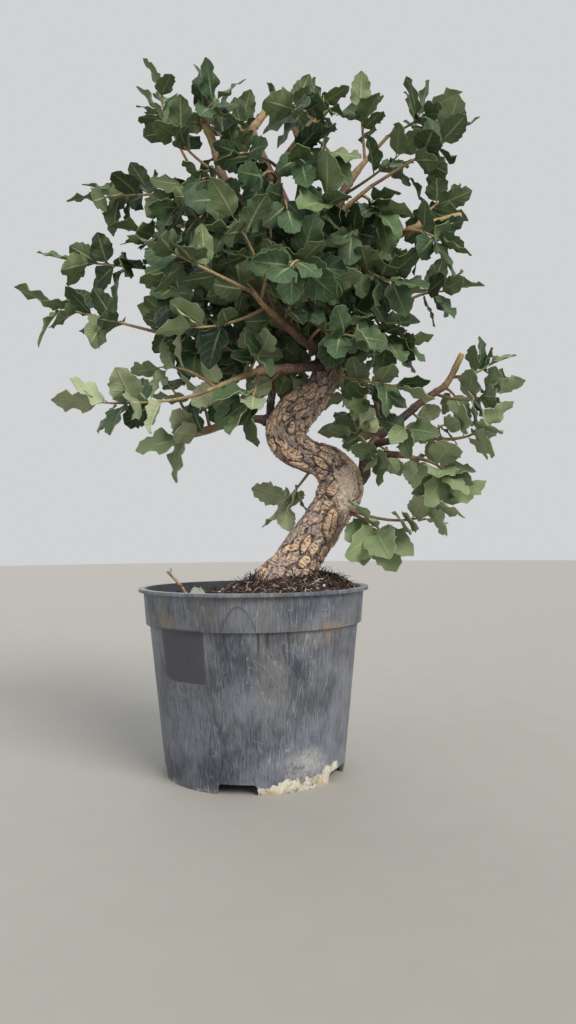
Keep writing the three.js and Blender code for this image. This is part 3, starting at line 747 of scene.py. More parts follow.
def mark(mesh, name, values):
    layer = mesh.attributes.new(name, "FLOAT", "POINT")
    layer.data.foreach_set("value", np.broadcast_to(values, len(mesh.vertices)).astype(np.float32))


def closed(mesh):
    """Joins the seams of rolled grids and fills their ends."""
    shape = bmesh.new()
    shape.from_mesh(mesh)
    bmesh.ops.remove_doubles(shape, verts=shape.verts[:], dist=SEAM)
    bmesh.ops.holes_fill(shape, edges=shape.edges[:], sides=0)
    bmesh.ops.recalc_face_normals(shape, faces=shape.faces[:])
    name = mesh.name
    bpy.data.meshes.remove(mesh)
    return mesh_of(shape, name)


def joined(name, meshes):
    shape = bmesh.new()
    for mesh in meshes:
        shape.from_mesh(mesh)
    return mesh_of(shape, name)


def with_modifiers(mesh, *modifiers):
    """The mesh as its modifiers leave it: each is a kind and its settings."""
    holder = object_of(mesh.name, mesh)
    for kind, settings in modifiers:
        modifier = holder.modifiers.new(kind, kind)
        for setting, value in settings.items():
            setattr(modifier, setting, value)
    seen = holder.evaluated_get(bpy.context.evaluated_depsgraph_get())
    made = bpy.data.meshes.new_from_object(seen)
    bpy.data.objects.remove(holder)
    return made


def piece(name, mesh, materials, replaces=(), smooth_angle=50):
    mesh.name = name
    which = np.zeros(len(mesh.polygons), np.int32)
    mesh.polygons.foreach_get("material_index", which)
    mesh.materials.clear()
    for material in materials:
        mesh.materials.append(material)
    mesh.polygons.foreach_set("material_index", which)
    mesh.polygons.foreach_set("use_smooth", np.ones(len(mesh.polygons), bool))
    mesh.set_sharp_from_angle(angle=math.radians(smooth_angle))
    thing = object_of(name, mesh)
    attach(thing, "root")
    if replaces:
        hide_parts(*replaces)


def frames_along(curve, shares):
    """The middle line's places with two directions across it, carried along without twist."""
    found, side = [], None
    for t in shares:
        axis = curve.tangent(t)
        side = sideways(axis) if side is None else unit(side - axis * side.dot(axis))
        found.append([curve.at(t), side, np.cross(side, axis)])
    return np.array(found)


def turns(sides):
    return 2 * math.pi * np.arange(sides) / sides


def ways_round(path, turn):
    """Directions out from a middle line's frames, at each place and each turn about it."""
    return path[:, 1][:, None] * np.sin(turn)[..., None] + path[:, 2][:, None] * np.cos(turn)[..., None]


def rods(name, paths, radii, sides):
    """Round rods, not yet closed: paths holds each rod's frames, radii its radius at each ring and side."""
    mesh, rows, columns = grids(name, len(paths), paths.shape[1] - 1, sides)
    rod = np.arange(len(paths))[:, None]
    turn = 2 * math.pi * columns / sides
    centre, side, across = (paths[rod, rows, k] for k in range(3))
    radius = radii[rod, rows, columns % sides] if radii.ndim == 3 else radii[rod, rows]
    reach_side = (radius * np.sin(turn))[..., None]
    reach_across = (radius * np.cos(turn))[..., None]
    put(mesh, (centre + side * reach_side + across * reach_across).reshape(-1, 3))
    return mesh, rows, columns


# Materials


def colour(code):
    """A colour written as rrggbb, in the light-linear numbers that sockets take."""
    parts = [int(code[k : k + 2], 16) / 255 for k in (0, 2, 4)]
    return [p / 12.92 if p <= 0.04045 else ((p + 0.055) / 1.055) ** 2.4 for p in parts] + [1]


class Value:
    """A number in a material, whose sums are written as Python sums."""

    def __init__(self, paint, socket):
        self.paint, self.socket = paint, socket

    def __add__(self, other):
        return self.paint.sum("ADD", self, other)

    def __sub__(self, other):
        return self.paint.sum("SUBTRACT", self, other)

    def __rsub__(self, other):
        return self.paint.sum("SUBTRACT", other, self)

    def __mul__(self, other):
        return self.paint.sum("MULTIPLY", self, other)

    def __truediv__(self, other):
        return self.paint.sum("DIVIDE", self, other)

    __radd__ = __add__
    __rmul__ = __mul__


class Paint:
    """One material and the nodes that paint it."""

    def __init__(self, name):
        self.material = bpy.data.materials.new(name)
        self.material.use_nodes = True
        self.tree = self.material.node_tree
        self.shader = self.tree.nodes["Principled BSDF"]

    def node(self, kind, settings, sockets, output=0):
        made = self.tree.nodes.new(kind)
        for name, value in settings.items():
            setattr(made, name, value)
        for name, value in sockets.items():
            self.feed(made.inputs[name], value)
        return Value(self, made.outputs[output])

    def feed(self, socket, value):
        if isinstance(value, Value):
            self.tree.links.new(value.socket, socket)
        else:
            socket.default_value = value

    def sum(self, operation, *values):
        return self.node("ShaderNodeMath", {"operation": operation}, dict(enumerate(values)))

    def vector(self, operation, *values):
        return self.node("ShaderNodeVectorMath", {"operation": operation}, dict(enumerate(values)))

    def smooth(self, value, low, high):
        """0 where the value is below low, 1 above high, smooth between; low may be the greater."""
        sockets = {"Value": value, "From Min": low, "From Max": high}
        return self.node("ShaderNodeMapRange", {"interpolation_type": "SMOOTHSTEP"}, sockets)

    def mark(self, name):
        return self.node("ShaderNodeAttribute", {"attribute_name": name}, {}, "Fac")

    def place(self):
        """Where on the object a point is, in metres round the pot's axis."""
        there = self.node("ShaderNodeTexCoord", {}, {}, "Object")
        return self.vector("SUBTRACT", there, list(POT_AXIS / 1000))

    def parts(self, place):
        split = self.node("ShaderNodeSeparateXYZ", {}, {0: place})
        return [Value(self, split.socket.node.outputs[k]) for k in range(3)]

    def stretched(self, place, shares):
        return self.vector("MULTIPLY", place, shares)

    def noise(self, place, scale, detail=3, roughness=0.55):
        sockets = {"Vector": place, "Scale": scale, "Detail": detail, "Roughness": roughness}
        return self.node("ShaderNodeTexNoise", {"noise_dimensions": "3D"}, sockets)

    def cells(self, place, scale):
        sockets = {"Vector": place, "Scale": scale}
        return self.node("ShaderNodeTexVoronoi", {"feature": "F1"}, sockets, "Distance")

    def blend(self, first, second, share):
        """From the first colour to the second; a colour is its code or another blend."""
        a, b = (colour(c) if isinstance(c, str) else c for c in (first, second))
        return self.node("ShaderNodeMix", {"data_type": "RGBA"}, {0: share, 6: a, 7: b}, 2)

    def layers(self, base, *layers):
        """A colour with others laid over it one by one, each as strongly as its share."""
        for code, share in layers:
            base = self.blend(base, code, share)
        return base

    def bump(self, height, distance, strength, under=None):
        sockets = {"Height": height, "Distance": distance, "Strength": strength}
        sockets.update({"Normal": under} if under else {})
        return self.node("ShaderNodeBump", {}, sockets)

    def finish(self, sockets):
        for name, value in sockets.items():
            self.feed(self.shader.inputs[name], value)
        return self.material


# Bark, wood and leaves as finishes


def cork_bark():
    """A rough grey-brown skin, with tan cork showing in long cracked plates."""
    paint = Paint("cork_bark")
    place = paint.place()
    cork, crack, tone, grey = (paint.mark(name) for name in ("cork", "crack", "tone", "grey"))
    fine, broad = paint.noise(place, 1100, 4, 0.75), paint.noise(place, 130, 3)
    middle = paint.noise(place, 380, 3, 0.7)
    skin = paint.blend("83726a", "c3b0a3", paint.smooth(middle + (fine - 0.5) * 0.9, 0.34, 0.62))
    skin = paint.blend(skin, "c2a489", paint.smooth(tone + (middle - 0.5) * 1.6, 0.66, 1.05) * 0.8)
    tan = paint.blend("b38e70", "e8caac", paint.smooth(tone + (middle - 0.5) * 1.6 + fine * 0.4, 0.3, 1.1))
    bark = paint.blend(skin, tan, paint.smooth(cork + (fine - 0.5) * 0.6, 0.35, 0.7))
    lichen = paint.layers(
        "c6b19f",
        ("f1e2d0", paint.smooth(middle + (fine - 0.5) * 0.7, 0.36, 0.64)),
        ("c2b27c", paint.smooth(paint.noise(place, 260, 2), 0.58, 0.68) * 0.5),
        ("a08a79", paint.smooth(paint.noise(place, 210, 3, 0.7), 0.5, 0.38) * 0.7),
    )
    bark = paint.blend(bark, lichen, grey * 0.8)
    dots = paint.smooth(paint.cells(place, 420), 0.2, 0.1) * paint.smooth(broad, 0.46, 0.58)
    dark = paint.smooth(crack + (fine - 0.5) * 0.5 + dots * 0.5, 0.3, 0.75)
    bark = paint.blend(bark, "3f3231", dark * 0.76)
    bump = paint.bump(fine, 0.0008, 0.9)
    bump = paint.bump(middle - dark * 0.5, 0.0014, 0.9, bump)
    height = paint.parts(place)[2] * 1000
    # Darker brown towards the top of the trunk, under the crown: partly the bark's own darker brown there,
    # partly painted shade from the crown
    bark = paint.blend(bark, "553d34", paint.smooth(height + (broad - 0.5) * 60, 285, 345) * 0.5)
    return paint.finish({"Base Color": bark, "Roughness": 0.92, "Normal": bump})


def limb_bark():
    """Dark and cracked where a limb is old, reddish and then tan towards its end, pale where it was cut."""
    paint = Paint("limb_bark")
    place = paint.place()
    age, cut = paint.mark("age"), paint.mark("cut")
    fine = paint.noise(place, 700, 4, 0.65)
    broad = paint.noise(place, 140, 3)
    old = paint.blend("3d3030", "6b5a52", paint.smooth(fine, 0.4, 0.66))
    middling = paint.blend("5d4238", "8f7160", paint.smooth(fine + broad, 0.8, 1.2))
    young = paint.blend("8b7350", "b39d70", paint.smooth(fine + broad, 0.8, 1.2))
    wood = paint.blend(young, middling, paint.smooth(age + (broad - 0.5) * 0.5, 0.2, 0.5))
    wood = paint.blend(wood, old, paint.smooth(age + (broad - 0.5) * 0.4, 0.55, 0.85))
    pores = paint.smooth(paint.cells(place, 520), 0.16, 0.08)
    wood = paint.blend(wood, "c2b08c", pores * 0.45)
    heart = paint.blend("e0cf9c", "b9a070", paint.smooth(fine, 0.45, 0.7))
    wood = paint.blend(wood, heart, paint.smooth(cut, 0.4, 0.7))
    bump = paint.bump(fine + broad * 0.5, 0.0006, 0.7)
    return paint.finish({"Base Color": wood, "Roughness": 0.78, "Normal": bump})


def leaf_veins(paint):
    """Midrib, side veins and distance from the midrib, from the leaf's own map."""
    along, across, _ = paint.parts(paint.node("ShaderNodeUVMap", {"uv_map": "UVMap"}, {}))
    off = paint.sum("ABSOLUTE", across * 2 - 1)
    midrib = paint.smooth(off, 0.13, 0.02)
    sweep = paint.sum("FRACT", along * 6.5 - off * 1.5)
    side = paint.smooth(paint.sum("ABSOLUTE", sweep - 0.5), 0.11, 0.02) * paint.smooth(off, 0.95, 0.75)
    return midrib, side, off, along


def leaf_top():
    paint = Paint("leaf_upper_face")
    place = paint.place()
    midrib, side, off, along = leaf_veins(paint)
    tint = paint.mark("tint")
    broad, fine = paint.noise(place, 110, 2), paint.noise(place, 1300, 3, 0.6)
    shade = tint + (broad - 0.5) * 0.5
    rust = paint.smooth(paint.noise(place, 190, 3, 0.7), 0.735, 0.775)
    green = paint.layers(
        "26352a",
        ("455b3f", paint.smooth(shade, 0.0, 0.6)),
        ("7a8f5f", paint.smooth(shade, 0.66, 1.1)),
        # Paler low down: painted light for low leaves lit from below and shining through
        ("8d9d74", paint.smooth(paint.mark("low") + tint * 0.25, 0.6, 1.0) * 0.75),
        ("647a58", paint.smooth(fine, 0.48, 0.8) * 0.3),
        ("84956a", side * 0.24),
        ("a3ab7c", midrib * paint.smooth(along, 1.1, 0.0) * 0.75),
        ("8a966a", paint.smooth(off, 0.94, 1.0) * 0.3),
        ("9c6a3c", rust * 0.9),
    )
    bump = paint.bump(side * 0.7 + midrib * 1.2 + fine * 0.25, 0.0003, 0.7)
    rough = fine * 0.2 + 0.46
    return paint.finish({"Base Color": green, "Roughness": rough, "Specular IOR Level": 0.2, "Normal": bump})


def leaf_under():
    paint = Paint("leaf_lower_face")
    place = paint.place()
    midrib, side, _, _ = leaf_veins(paint)
    tint, low = paint.mark("tint"), paint.mark("low")
    fine = paint.noise(place, 1800, 3, 0.6)
    felt = paint.layers(
        "506047",
        ("7c8b64", paint.smooth(fine * 0.5 + tint, 0.2, 1.1)),
        # Paler low down: partly the felt's own paleness, partly painted light for low leaves lit from below
        # and shining through
        ("a6b08d", paint.smooth(low + (tint - 0.3) * 0.5, 0.15, 0.65) * 0.85),
        ("b4bc92", side * 0.25),
        ("bcc194", midrib * 0.6),
    )
    bump = paint.bump(side * 0.8 + midrib * 1.6 + fine * 0.3, 0.0004, 0.8)
    return paint.finish({"Base Color": felt, "Roughness": 0.9, "Specular IOR Level": 0.14, "Normal": bump})


# Shoots and leaves as pieces

# Share of a leaf's length, share of its half width, and how far a tooth stands out there
LEAF_STATIONS = np.array([
    (0, 0.05, 0), (0.08, 0.05, 0), (0.11, 0.34, 0), (0.18, 0.74, 0.05), (0.24, 0.88, -0.03),
    (0.33, 0.99, 0.065), (0.41, 1.0, -0.05), (0.51, 1.0, 0.07), (0.59, 0.94, -0.05), (0.69, 0.87, 0.07),
    (0.77, 0.74, -0.04), (0.86, 0.58, 0.065), (0.94, 0.33, -0.01), (1, 0.06, 0),
])
LEAF_LINES = 4
TOOTH_SIZES = (0.4, 1.25)
# Teeth point a little towards the tip, by this share of how far they stand out
TOOTH_SLANT = 0.2
RIPPLE = 0.06
RIPPLES_ON_A_LEAF = 2.7
# How pale a green can be: by chance, and more so near a twig's tip
TINT_BY_CHANCE, TINT_OF_YOUTH = 0.62, 0.38
# Leaves are painted paler from the first of these heights down to the second, in millimetres: partly their
# pale undersides, partly painted light for low leaves lit from below and shining through
PALE_BELOW = (395, 205)
BLADE_THICK = 0.0004
BLADE_SOLID = {"thickness": BLADE_THICK, "offset": -1, "material_offset": 1, "material_offset_rim": 1}

TWIG_RINGS = 12
TWIG_SIDES = 6
TWIG_RADII = (1.5, 0.75)
TWIG_END = 0.3

LIMB_RINGS = 44
LIMB_SIDES = 16
LIMB_FLARE = 1.8
# The last ring of a limb stands this far out and in, so that its cut end has a rounded edge
LIMB_END_RISE = 0.35
LIMB_END_STEP = 0.45
PRUNED_LIMBS = ("up_left", "up_centre", "front_olive", "top_stub", "right_stub", "spray_stub", "left_stub")
RUNNING_ON_RADIUS = 1.5
DARK_LIMBS = ("right_spray", "spray_stub", "spray_mid", "spray_low", "left_stem", "spray_up")

SHOOT_PIECES = {
    "shoots_left": ("left_high", "left_mid", "left_up"),
    "shoots_low_left": ("left_low", "left_stub", "left_stem", "front_left"),
    "shoots_top": ("up_centre", "up_left", "front_olive", "top_stub", "up_right"),
    "shoots_right": ("right_up", "right_stub", "right_low"),
    "shoots_spray": ("spray_stub", "spray_mid", "spray_low", "spray_up", "right_spray"),
    "shoots_trunk": ("trunk",),
    "shoots_crown": ("crown",),
}


class LeafForms:
    """The numbers of many leaves as columns, so that one formula shapes them all."""

    def __init__(self, leaves):
        for name in ("length", "half_width", "droop", "fold", "wave", "phase"):
            setattr(self, name, np.array([getattr(leaf, name) for leaf in leaves])[:, None])
        for name in ("foot", "along", "side", "normal"):
            setattr(self, name, np.array([getattr(leaf, name) for leaf in leaves])[:, None])


def leaf_blades(name, leaves, grain):
    """Toothed blades over the flat frames of the placed leaves, with a stalk at the foot."""
    mesh, rows, columns = grids(name, len(leaves), len(LEAF_STATIONS) - 1, LEAF_LINES)
    forms = LeafForms(leaves)
    s, width, tooth = (LEAF_STATIONS[rows, k] for k in range(3))
    across = columns / (LEAF_LINES / 2) - 1
    tooth = tooth * (abs(across) > 0.9) * grain.uniform(*TOOTH_SIZES, (len(leaves), 1))
    v = across * (width + tooth)
    s = s + TOOTH_SLANT * tooth
    turn = 2 * math.pi * RIPPLES_ON_A_LEAF * s + 1.9 * forms.phase + 2 * (across > 0)
    ripple = RIPPLE * forms.length * abs(across) ** 3 * width * np.sin(turn)
    lift = leaf_height(forms, s, v) + ripple
    places = forms.foot + forms.along * (s * forms.length)[..., None]
    places = places + forms.side * (v * forms.half_width)[..., None] + forms.normal * lift[..., None]
    put(mesh, places.reshape(-1, 3))
    young = np.array([leaf.youth for leaf in leaves])
    tint = grain.uniform(0, TINT_BY_CHANCE, len(leaves)) + TINT_OF_YOUTH * smoothstep(young, 0.7, 1)
    # How low each leaf sits, for the painted paleness of low leaves: partly pale undersides, partly painted
    # light
    high, lowest = PALE_BELOW
    low = np.clip((high - forms.foot[:, 0, 2]) / (high - lowest), 0, 1)
    mark(mesh, "tint", np.repeat(tint, rows.shape[1]))
    mark(mesh, "low", np.repeat(low, rows.shape[1]))
    mark(mesh, "age", 0)
    return mesh


def twig_rods(name, shoots):
    shares = np.linspace(0, 1, TWIG_RINGS + 1)
    paths = np.array([frames_along(shoot.bow, shares) for shoot in shoots])
    radii = np.tile(mix(TWIG_RADII[0], TWIG_RADII[1], shares), (len(shoots), 1))
    radii[:, -1] = TWIG_END
    mesh, rows, _ = rods(name, paths, radii, TWIG_SIDES)
    mark(mesh, "tint", 0)
    mark(mesh, "low", 0)
    mark(mesh, "age", (0.45 * (1 - shares[rows])).ravel())
    mark(mesh, "cut", 0)
    return closed(mesh)


def thick_blades(name, leaves, finishes, grain):
    blades = leaf_blades(name, leaves, grain)
    for finish in finishes:
        blades.materials.append(finish)
    return with_modifiers(blades, ("SOLIDIFY", BLADE_SOLID))


def shoot_piece(name, shoots, finishes, nodes, grain):
    """Leaves and twigs in one piece; the third finish is the twigs' wood."""
    placed = [leaf for shoot in shoots for leaf in shoot.placed]
    leaves = thick_blades(name + "_blades", placed, finishes, grain)
    twigs = twig_rods(name + "_twigs", shoots)
    twigs.polygons.foreach_set("material_index", np.full(len(twigs.polygons), 2))
    piece(name, joined(name, [leaves, twigs]), finishes, nodes, smooth_angle=60)


# Trunk and limbs

TRUNK_RINGS = 500
TRUNK_SIDES = 190
TRUNK_PROBES = 200
PLATE_LONG, PLATES_AROUND = 17, 14
CHIP_LONG, CHIPS_AROUND = 5.5, 30
CRACK_STEP = 2.9
# Bare plates of cork: where on the bark, which way they run, half length and half width
CORK_OVALS = [
    {"at": (64, -15, 199), "way": (0.19, 0, 0.98), "long": 12.5, "wide": 5.8},
    {"at": (64, -15, 230), "way": (0.35, 0, 0.94), "long": 6.5, "wide": 4},
    {"at": (43, -15, 183), "way": (0.45, 0, 0.9), "long": 8.5, "wide": 2.8},
    {"at": (41, -15, 169), "way": (0.8, 0, 0.6), "long": 6.5, "wide": 3.5},
    {"at": (31, -22, 277), "way": (0.3, 0, 0.95), "long": 5.5, "wide": 3.2},
    {"at": (29, -22, 286), "way": (0.5, 0, 0.87), "long": 4.5, "wide": 2.8},
    {"at": (19, -18, 265), "way": (0.1, 0, 1), "long": 8.5, "wide": 3},
    {"at": (56, -13, 251), "way": (0.75, 0, -0.66), "long": 12, "wide": 3.2},
    {"at": (38, -16, 248), "way": (0.95, 0, -0.3), "long": 10, "wide": 3},
    {"at": (52, 18, 196), "way": (0.5, 0, 0.87), "long": 11, "wide": 5},
    {"at": (66, 12, 240), "way": (0.6, 0, -0.8), "long": 8, "wide": 4},
    {"at": (30, 7, 271), "way": (0.1, 0, 1), "long": 8, "wide": 3.6},
    {"at": (36, 16, 172), "way": (0.6, 0, 0.8), "long": 7, "wide": 3.2},
]
BULGE = {"at": (79, -13, 230), "way": (0.1, 0, 1), "long": 23, "wide": 11.5}
KNOTS = [((62, -14, 221.3), 1.0), ((67, -13, 252), 0.7), ((30, -24, 279), 0.7), ((48, 17, 203), 0.8)]


def bark_rise(t, angle):
    run = t * (len(LIMBS["trunk"][0]) - 1)
    fade = smoothstep(run, BARK_STARTS, BARK_STARTS + 1)
    wander = BARK_RIDGES * angle + 0.9 * np.sin(run * 1.1)
    flakes = 0.75 + 0.25 * np.cos(run * 2.9 + angle)
    return BARK_RISE * fade * flakes * np.cos(wander)


def on_bark(base, place):
    """The place on the plain trunk that is nearest to a mark's own place."""
    flat = base.reshape(-1, 3)
    return flat[np.linalg.norm(flat - place, axis=1).argmin()]


def reach_in(oval, base):
    """How far each place is from an oval's middle, as a share of its size, and from its long axis."""
    away = base - on_bark(base, oval["at"])
    way = unit(oval["way"])
    along = away @ way
    beside = np.linalg.norm(away - along[..., None] * way, axis=-1)
    return np.hypot(along / oval["long"], beside / oval["wide"]), beside


def cork_ovals(base):
    """The large bare plates: 1 on them, 1 round their edges, and 1 down the middle of the first."""
    plate, edge = np.zeros(base.shape[:-1]), np.zeros(base.shape[:-1])
    uneven = 0.26 * rough_noise(base, 4.2, 41, 3)
    for oval in CORK_OVALS:
        reach = reach_in(oval, base)[0] + uneven
        plate = np.maximum(plate, smoothstep(reach, 1.02, 0.86))
        edge = np.maximum(edge, smoothstep(abs(reach - 1.16), 0.2, 0.06))
    reach, beside = reach_in(CORK_OVALS[0], base)
    middle = smoothstep(reach, 0.95, 0.8) * smoothstep(beside + 0.8 * rough_noise(base, 3, 57, 2), 0.9, 0.25)
    return plate, edge * (1 - plate), middle


def bark_plates(run, turn, base):
    """Where cork shows, where cracks run, and each place's own tone."""
    bend = rough_noise(base, 12, 31, 4)
    twist = 0.34 * rough_noise(base, 9, 35, 4)
    deep, own = plates(run + 8 * bend, turn + twist, PLATE_LONG, PLATES_AROUND, 3)
    ragged = deep + 0.17 * rough_noise(base, 2.6, 47, 3)
    oval, edge, middle = cork_ovals(base)
    cork = np.maximum(smoothstep(ragged, 0.2, 0.36) * smoothstep(own, 0.5, 0.68), oval)
    step = (run + 3.5 * bend + rough_noise(base, 4, 51, 2)) / CRACK_STEP
    step = step + 7 * np.round(own * 9) * (1 - oval)
    off_step = abs(step - np.round(step))
    broken = smoothstep(smooth_noise(base, 2.4, 59), 0.3, 0.55)
    across = broken * smoothstep(off_step, 0.15, 0.05)
    seam = smoothstep(ragged, 0.13, 0.0) * (1 - oval)
    rungs = oval * smoothstep(off_step, 0.13, 0.05) * smoothstep(broken, -0.4, 0.6)
    crack = np.maximum.reduce([seam, edge * 0.78, cork * across * 0.85, rungs * 0.8, middle])
    return cork, crack, mix(own, 0.95, oval)


def trunk_relief(run, turn, base):
    """Height of the bark over the plain trunk, with the marks that colour it."""
    cork, crack, own = bark_plates(run, turn, base)
    bend = rough_noise(base, 4, 61, 3)
    chip_deep, chip_own = plates(run + 3 * bend, turn + 0.16 * bend, CHIP_LONG, CHIPS_AROUND, 11)
    smooth = smoothstep(reach_in(BULGE, base)[0] + 0.45 * bend, 1.25, 0.5)
    strength = 1 - 0.55 * smooth
    chips = smoothstep(chip_deep, 0.0, 0.22) - 0.6
    unrolled = np.stack([run * 0.3, 18 * np.cos(turn), 18 * np.sin(turn)], axis=-1)
    furrow = rough_noise(unrolled, 3.4, 65, 3)
    relief = 0.8 * cork - 1.3 * crack + 0.7 * chips + 0.5 * (own - 0.5) + 1.1 * furrow
    relief = strength * relief + 0.7 * rough_noise(base, 6, 71)
    relief = relief + 0.4 * strength * rough_noise(base, 1.9, 77, 2)
    flecks = smoothstep(chip_own, 0.66, 0.8) * smoothstep(chip_deep, 0.1, 0.3)
    scar = np.zeros(run.shape)
    for place, size in KNOTS:
        away = np.linalg.norm(base - on_bark(base, place), axis=-1) / size
        relief = relief + size * (1.6 * hump(away, 5, 1.6) - 3 * hump(away, 0, 2.4))
        scar = scar + hump(away, 0, 3) + 0.35 * hump(away, 6.4, 0.9)
    pits = smoothstep(furrow, -0.22, -0.5) * 0.8
    dark = np.maximum(np.maximum(crack, pits) * strength, np.minimum(scar, 1))
    tone = 0.5 * own + 0.5 * chip_own + 0.25 * (chips - 0.1)
    cork = np.maximum(cork, 0.9 * flecks) * strength
    return relief, {"cork": cork, "crack": dark, "tone": tone, "grey": smooth}


def trunk_mesh():
    """The trunk as one long roll of the bark's relief, with the marks that colour it."""
    points, radii = LIMBS["trunk"]
    shares = np.linspace(0, 1, TRUNK_RINGS + 1)
    path = frames_along(Spline(points), shares)
    steps = np.linalg.norm(np.diff(path[:, 0], axis=0), axis=1)
    run, turn = np.meshgrid(np.concatenate([[0], np.cumsum(steps)]), turns(TRUNK_SIDES), indexing="ij")
    t = np.broadcast_to(shares[:, None], run.shape)
    wrapped = np.where(turn > math.pi, turn - 2 * math.pi, turn)
    radius = spread_values(radii, t) + bark_rise(t, wrapped)
    base = path[:, 0][:, None] + ways_round(path, turn) * radius[..., None]
    relief, marks = trunk_relief(run, turn, base)
    mesh, rows, columns = rods("trunk", path[None], (radius + relief)[None], TRUNK_SIDES)
    for name, values in marks.items():
        mark(mesh, name, values[rows, columns % TRUNK_SIDES].ravel())
    return closed(mesh)


def limb_radius(name, path, shares, trunk, trunk_radii):
    """Radius along a limb: it flares out of the trunk and thins where it runs on into a twig."""
    away = (np.linalg.norm(path[:, 0][:, None] - trunk[None], axis=2) - trunk_radii).min(axis=1)
    radius = spread_values(LIMBS[name][1], shares)
    if name not in PRUNED_LIMBS:
        radius = mix(radius, RUNNING_ON_RADIUS, smoothstep(shares, 0.55, 1))
    radius = radius + LIMB_FLARE * hump(np.maximum(away, 0), 0, 5)
    radius[-1] -= LIMB_END_STEP
    return radius


def limb_form(k, name, shares, trunk, trunk_radii):
    """A limb's frames, and its bumpy radius at each ring and side; k is the limb's own number."""
    path = frames_along(Spline(LIMBS[name][0]), shares)
    path[-1, 0] += LIMB_END_RISE * np.cross(path[-1, 2], path[-1, 1])
    radius = limb_radius(name, path, shares, trunk, trunk_radii)
    around = path[:, 0][:, None] + ways_round(path, turns(LIMB_SIDES)) * radius[:, None, None]
    bumps = 0.1 * rough_noise(around, 9, 91 + k, 2) + 0.08 * rough_noise(around, 2.5, 191 + k, 2)
    knuckle = 0.14 * hump((shares * 7 + 0.37 * k) % 1, 0.5, 0.11)
    return path, radius[:, None] * (1 + bumps + knuckle[:, None])


def limb_age(name, shares):
    oldest = 1.0 if name in DARK_LIMBS else 0.85
    return oldest * (1 - 0.75 * smoothstep(shares, 0.05, 0.95))


def limb_mesh():
    names = [name for name in LIMBS if name != "trunk"]
    shares = np.concatenate([np.linspace(0, 1, LIMB_RINGS - 1), [1, 1]])
    points, radii = LIMBS["trunk"]
    trunk = Spline(points).spread(TRUNK_PROBES)
    trunk_radii = spread_values(radii, np.linspace(0, 1, TRUNK_PROBES + 1))
    forms = [limb_form(k, name, shares, trunk, trunk_radii) for k, name in enumerate(names)]
    paths, radii = (np.array([form[part] for form in forms]) for part in (0, 1))
    mesh, rows, _ = rods("limbs", paths, radii, LIMB_SIDES)
    limb = np.arange(len(names))[:, None]
    ages = np.array([limb_age(name, shares) for name in names])
    pruned = np.array([float(name in PRUNED_LIMBS) for name in names])
    mark(mesh, "age", ages[limb, rows].ravel())
    mark(mesh, "cut", ((rows >= LIMB_RINGS) * pruned[:, None]).ravel())
    return closed(mesh)


# Soil

SOIL_CELLS = 230
SOIL_TOP = 88.25
# How far from the pot's axis litter may start, and how far it may reach
LITTER_START = 84
LITTER_END = 86

FIBRES = 3200
FIBRE_RINGS = 5
FIBRE_SIDES = 4
FIBRES_AT_TRUNK = 0.7
FIBRE_HEART, FIBRE_SPREAD = (34, 0), (30, 26)
FIBRE_LENGTHS = (3, 14)
FIBRE_BEND = 1.6
FIBRES_STANDING = 0.25
STANDING_HEIGHTS = (1, 7)
FIBRE_ARCHES = (0.2, 1.6)
FIBRE_RADII = (0.16, 0.42)
FIBRE_THINNING = 0.45
FIBRE_LIFT = 0.15
TUFT = {"x": 2, "y": -6, "wide": 11, "tall": 10}

CRUMBS = 900
CRUMB_END = 85
CRUMB_HEART, CRUMB_SPREAD = (30, 0), 38
CRUMB_SIZES = (0.5, 1.9)
CRUMB_ROUGHNESS = 0.16


def rise(hill, x, y):
    """How far a hill of soil stands over the level of the rest at a place."""
    away = (x - hill["x"]) ** 2 + (y - hill["y"]) ** 2
    return hill["height"] * np.exp(-away / (2 * hill["spread"] ** 2))


def soil_height(x, y):
    place = np.stack([x, y, np.zeros_like(x)], axis=-1)
    lumps = 1.5 * rough_noise(place, 9, 5, 4) + 0.8 * rough_noise(place, 2.4, 15, 2)
    return SOIL_LEVEL + rise(MOUND, x, y) + rise(ROOT_LUMP, x, y) + lumps


def soil_levels():
    """The soil's side under its top: the pot's outer radius and the height at each ring."""
    low = FLOOR_LOW + FLOOR_THICK + SEAT
    step = COLLAR_LOW + POT_WALL + SEAT
    foot = mix(FOOT_RADIUS, BODY_TOP_RADIUS, low / COLLAR_LOW)
    return [(COLLAR_LOW_RADIUS, step), (BODY_TOP_RADIUS, step), (foot, low)]


def soil_mesh():
    """A square grid drawn round, with the soil's side and base under it, then raised to its hills."""
    shape = bmesh.new()
    bmesh.ops.create_grid(shape, x_segments=SOIL_CELLS, y_segments=SOIL_CELLS, size=1)
    for corner in shape.verts:
        a, b = corner.co.x, corner.co.y
        corner.co.x, corner.co.y = a * math.sqrt(1 - b * b / 2), b * math.sqrt(1 - a * a / 2)
    rim = [edge for edge in shape.edges if edge.is_boundary]
    for radius, height in soil_levels():
        grown = bmesh.ops.extrude_edge_only(shape, edges=rim)["geom"]
        for corner in (part for part in grown if isinstance(part, bmesh.types.BMVert)):
            level = math.hypot(corner.co.x, corner.co.y)
            share = (radius - POT_WALL - SOIL_ROOM) / SOIL_TOP / level
            corner.co = (corner.co.x * share, corner.co.y * share, height)
        rim = [part for part in grown if isinstance(part, bmesh.types.BMEdge)]
    bmesh.ops.contextual_create(shape, geom=rim)
    bmesh.ops.recalc_face_normals(shape, faces=shape.faces[:])
    mesh = mesh_of(shape, "soil_bed")
    places = places_of(mesh)
    places[:, :2] *= SOIL_TOP
    top = places[:, 2] == 0
    places[top, 2] = soil_height(places[top, 0], places[top, 1])
    put(mesh, places)
    return mesh


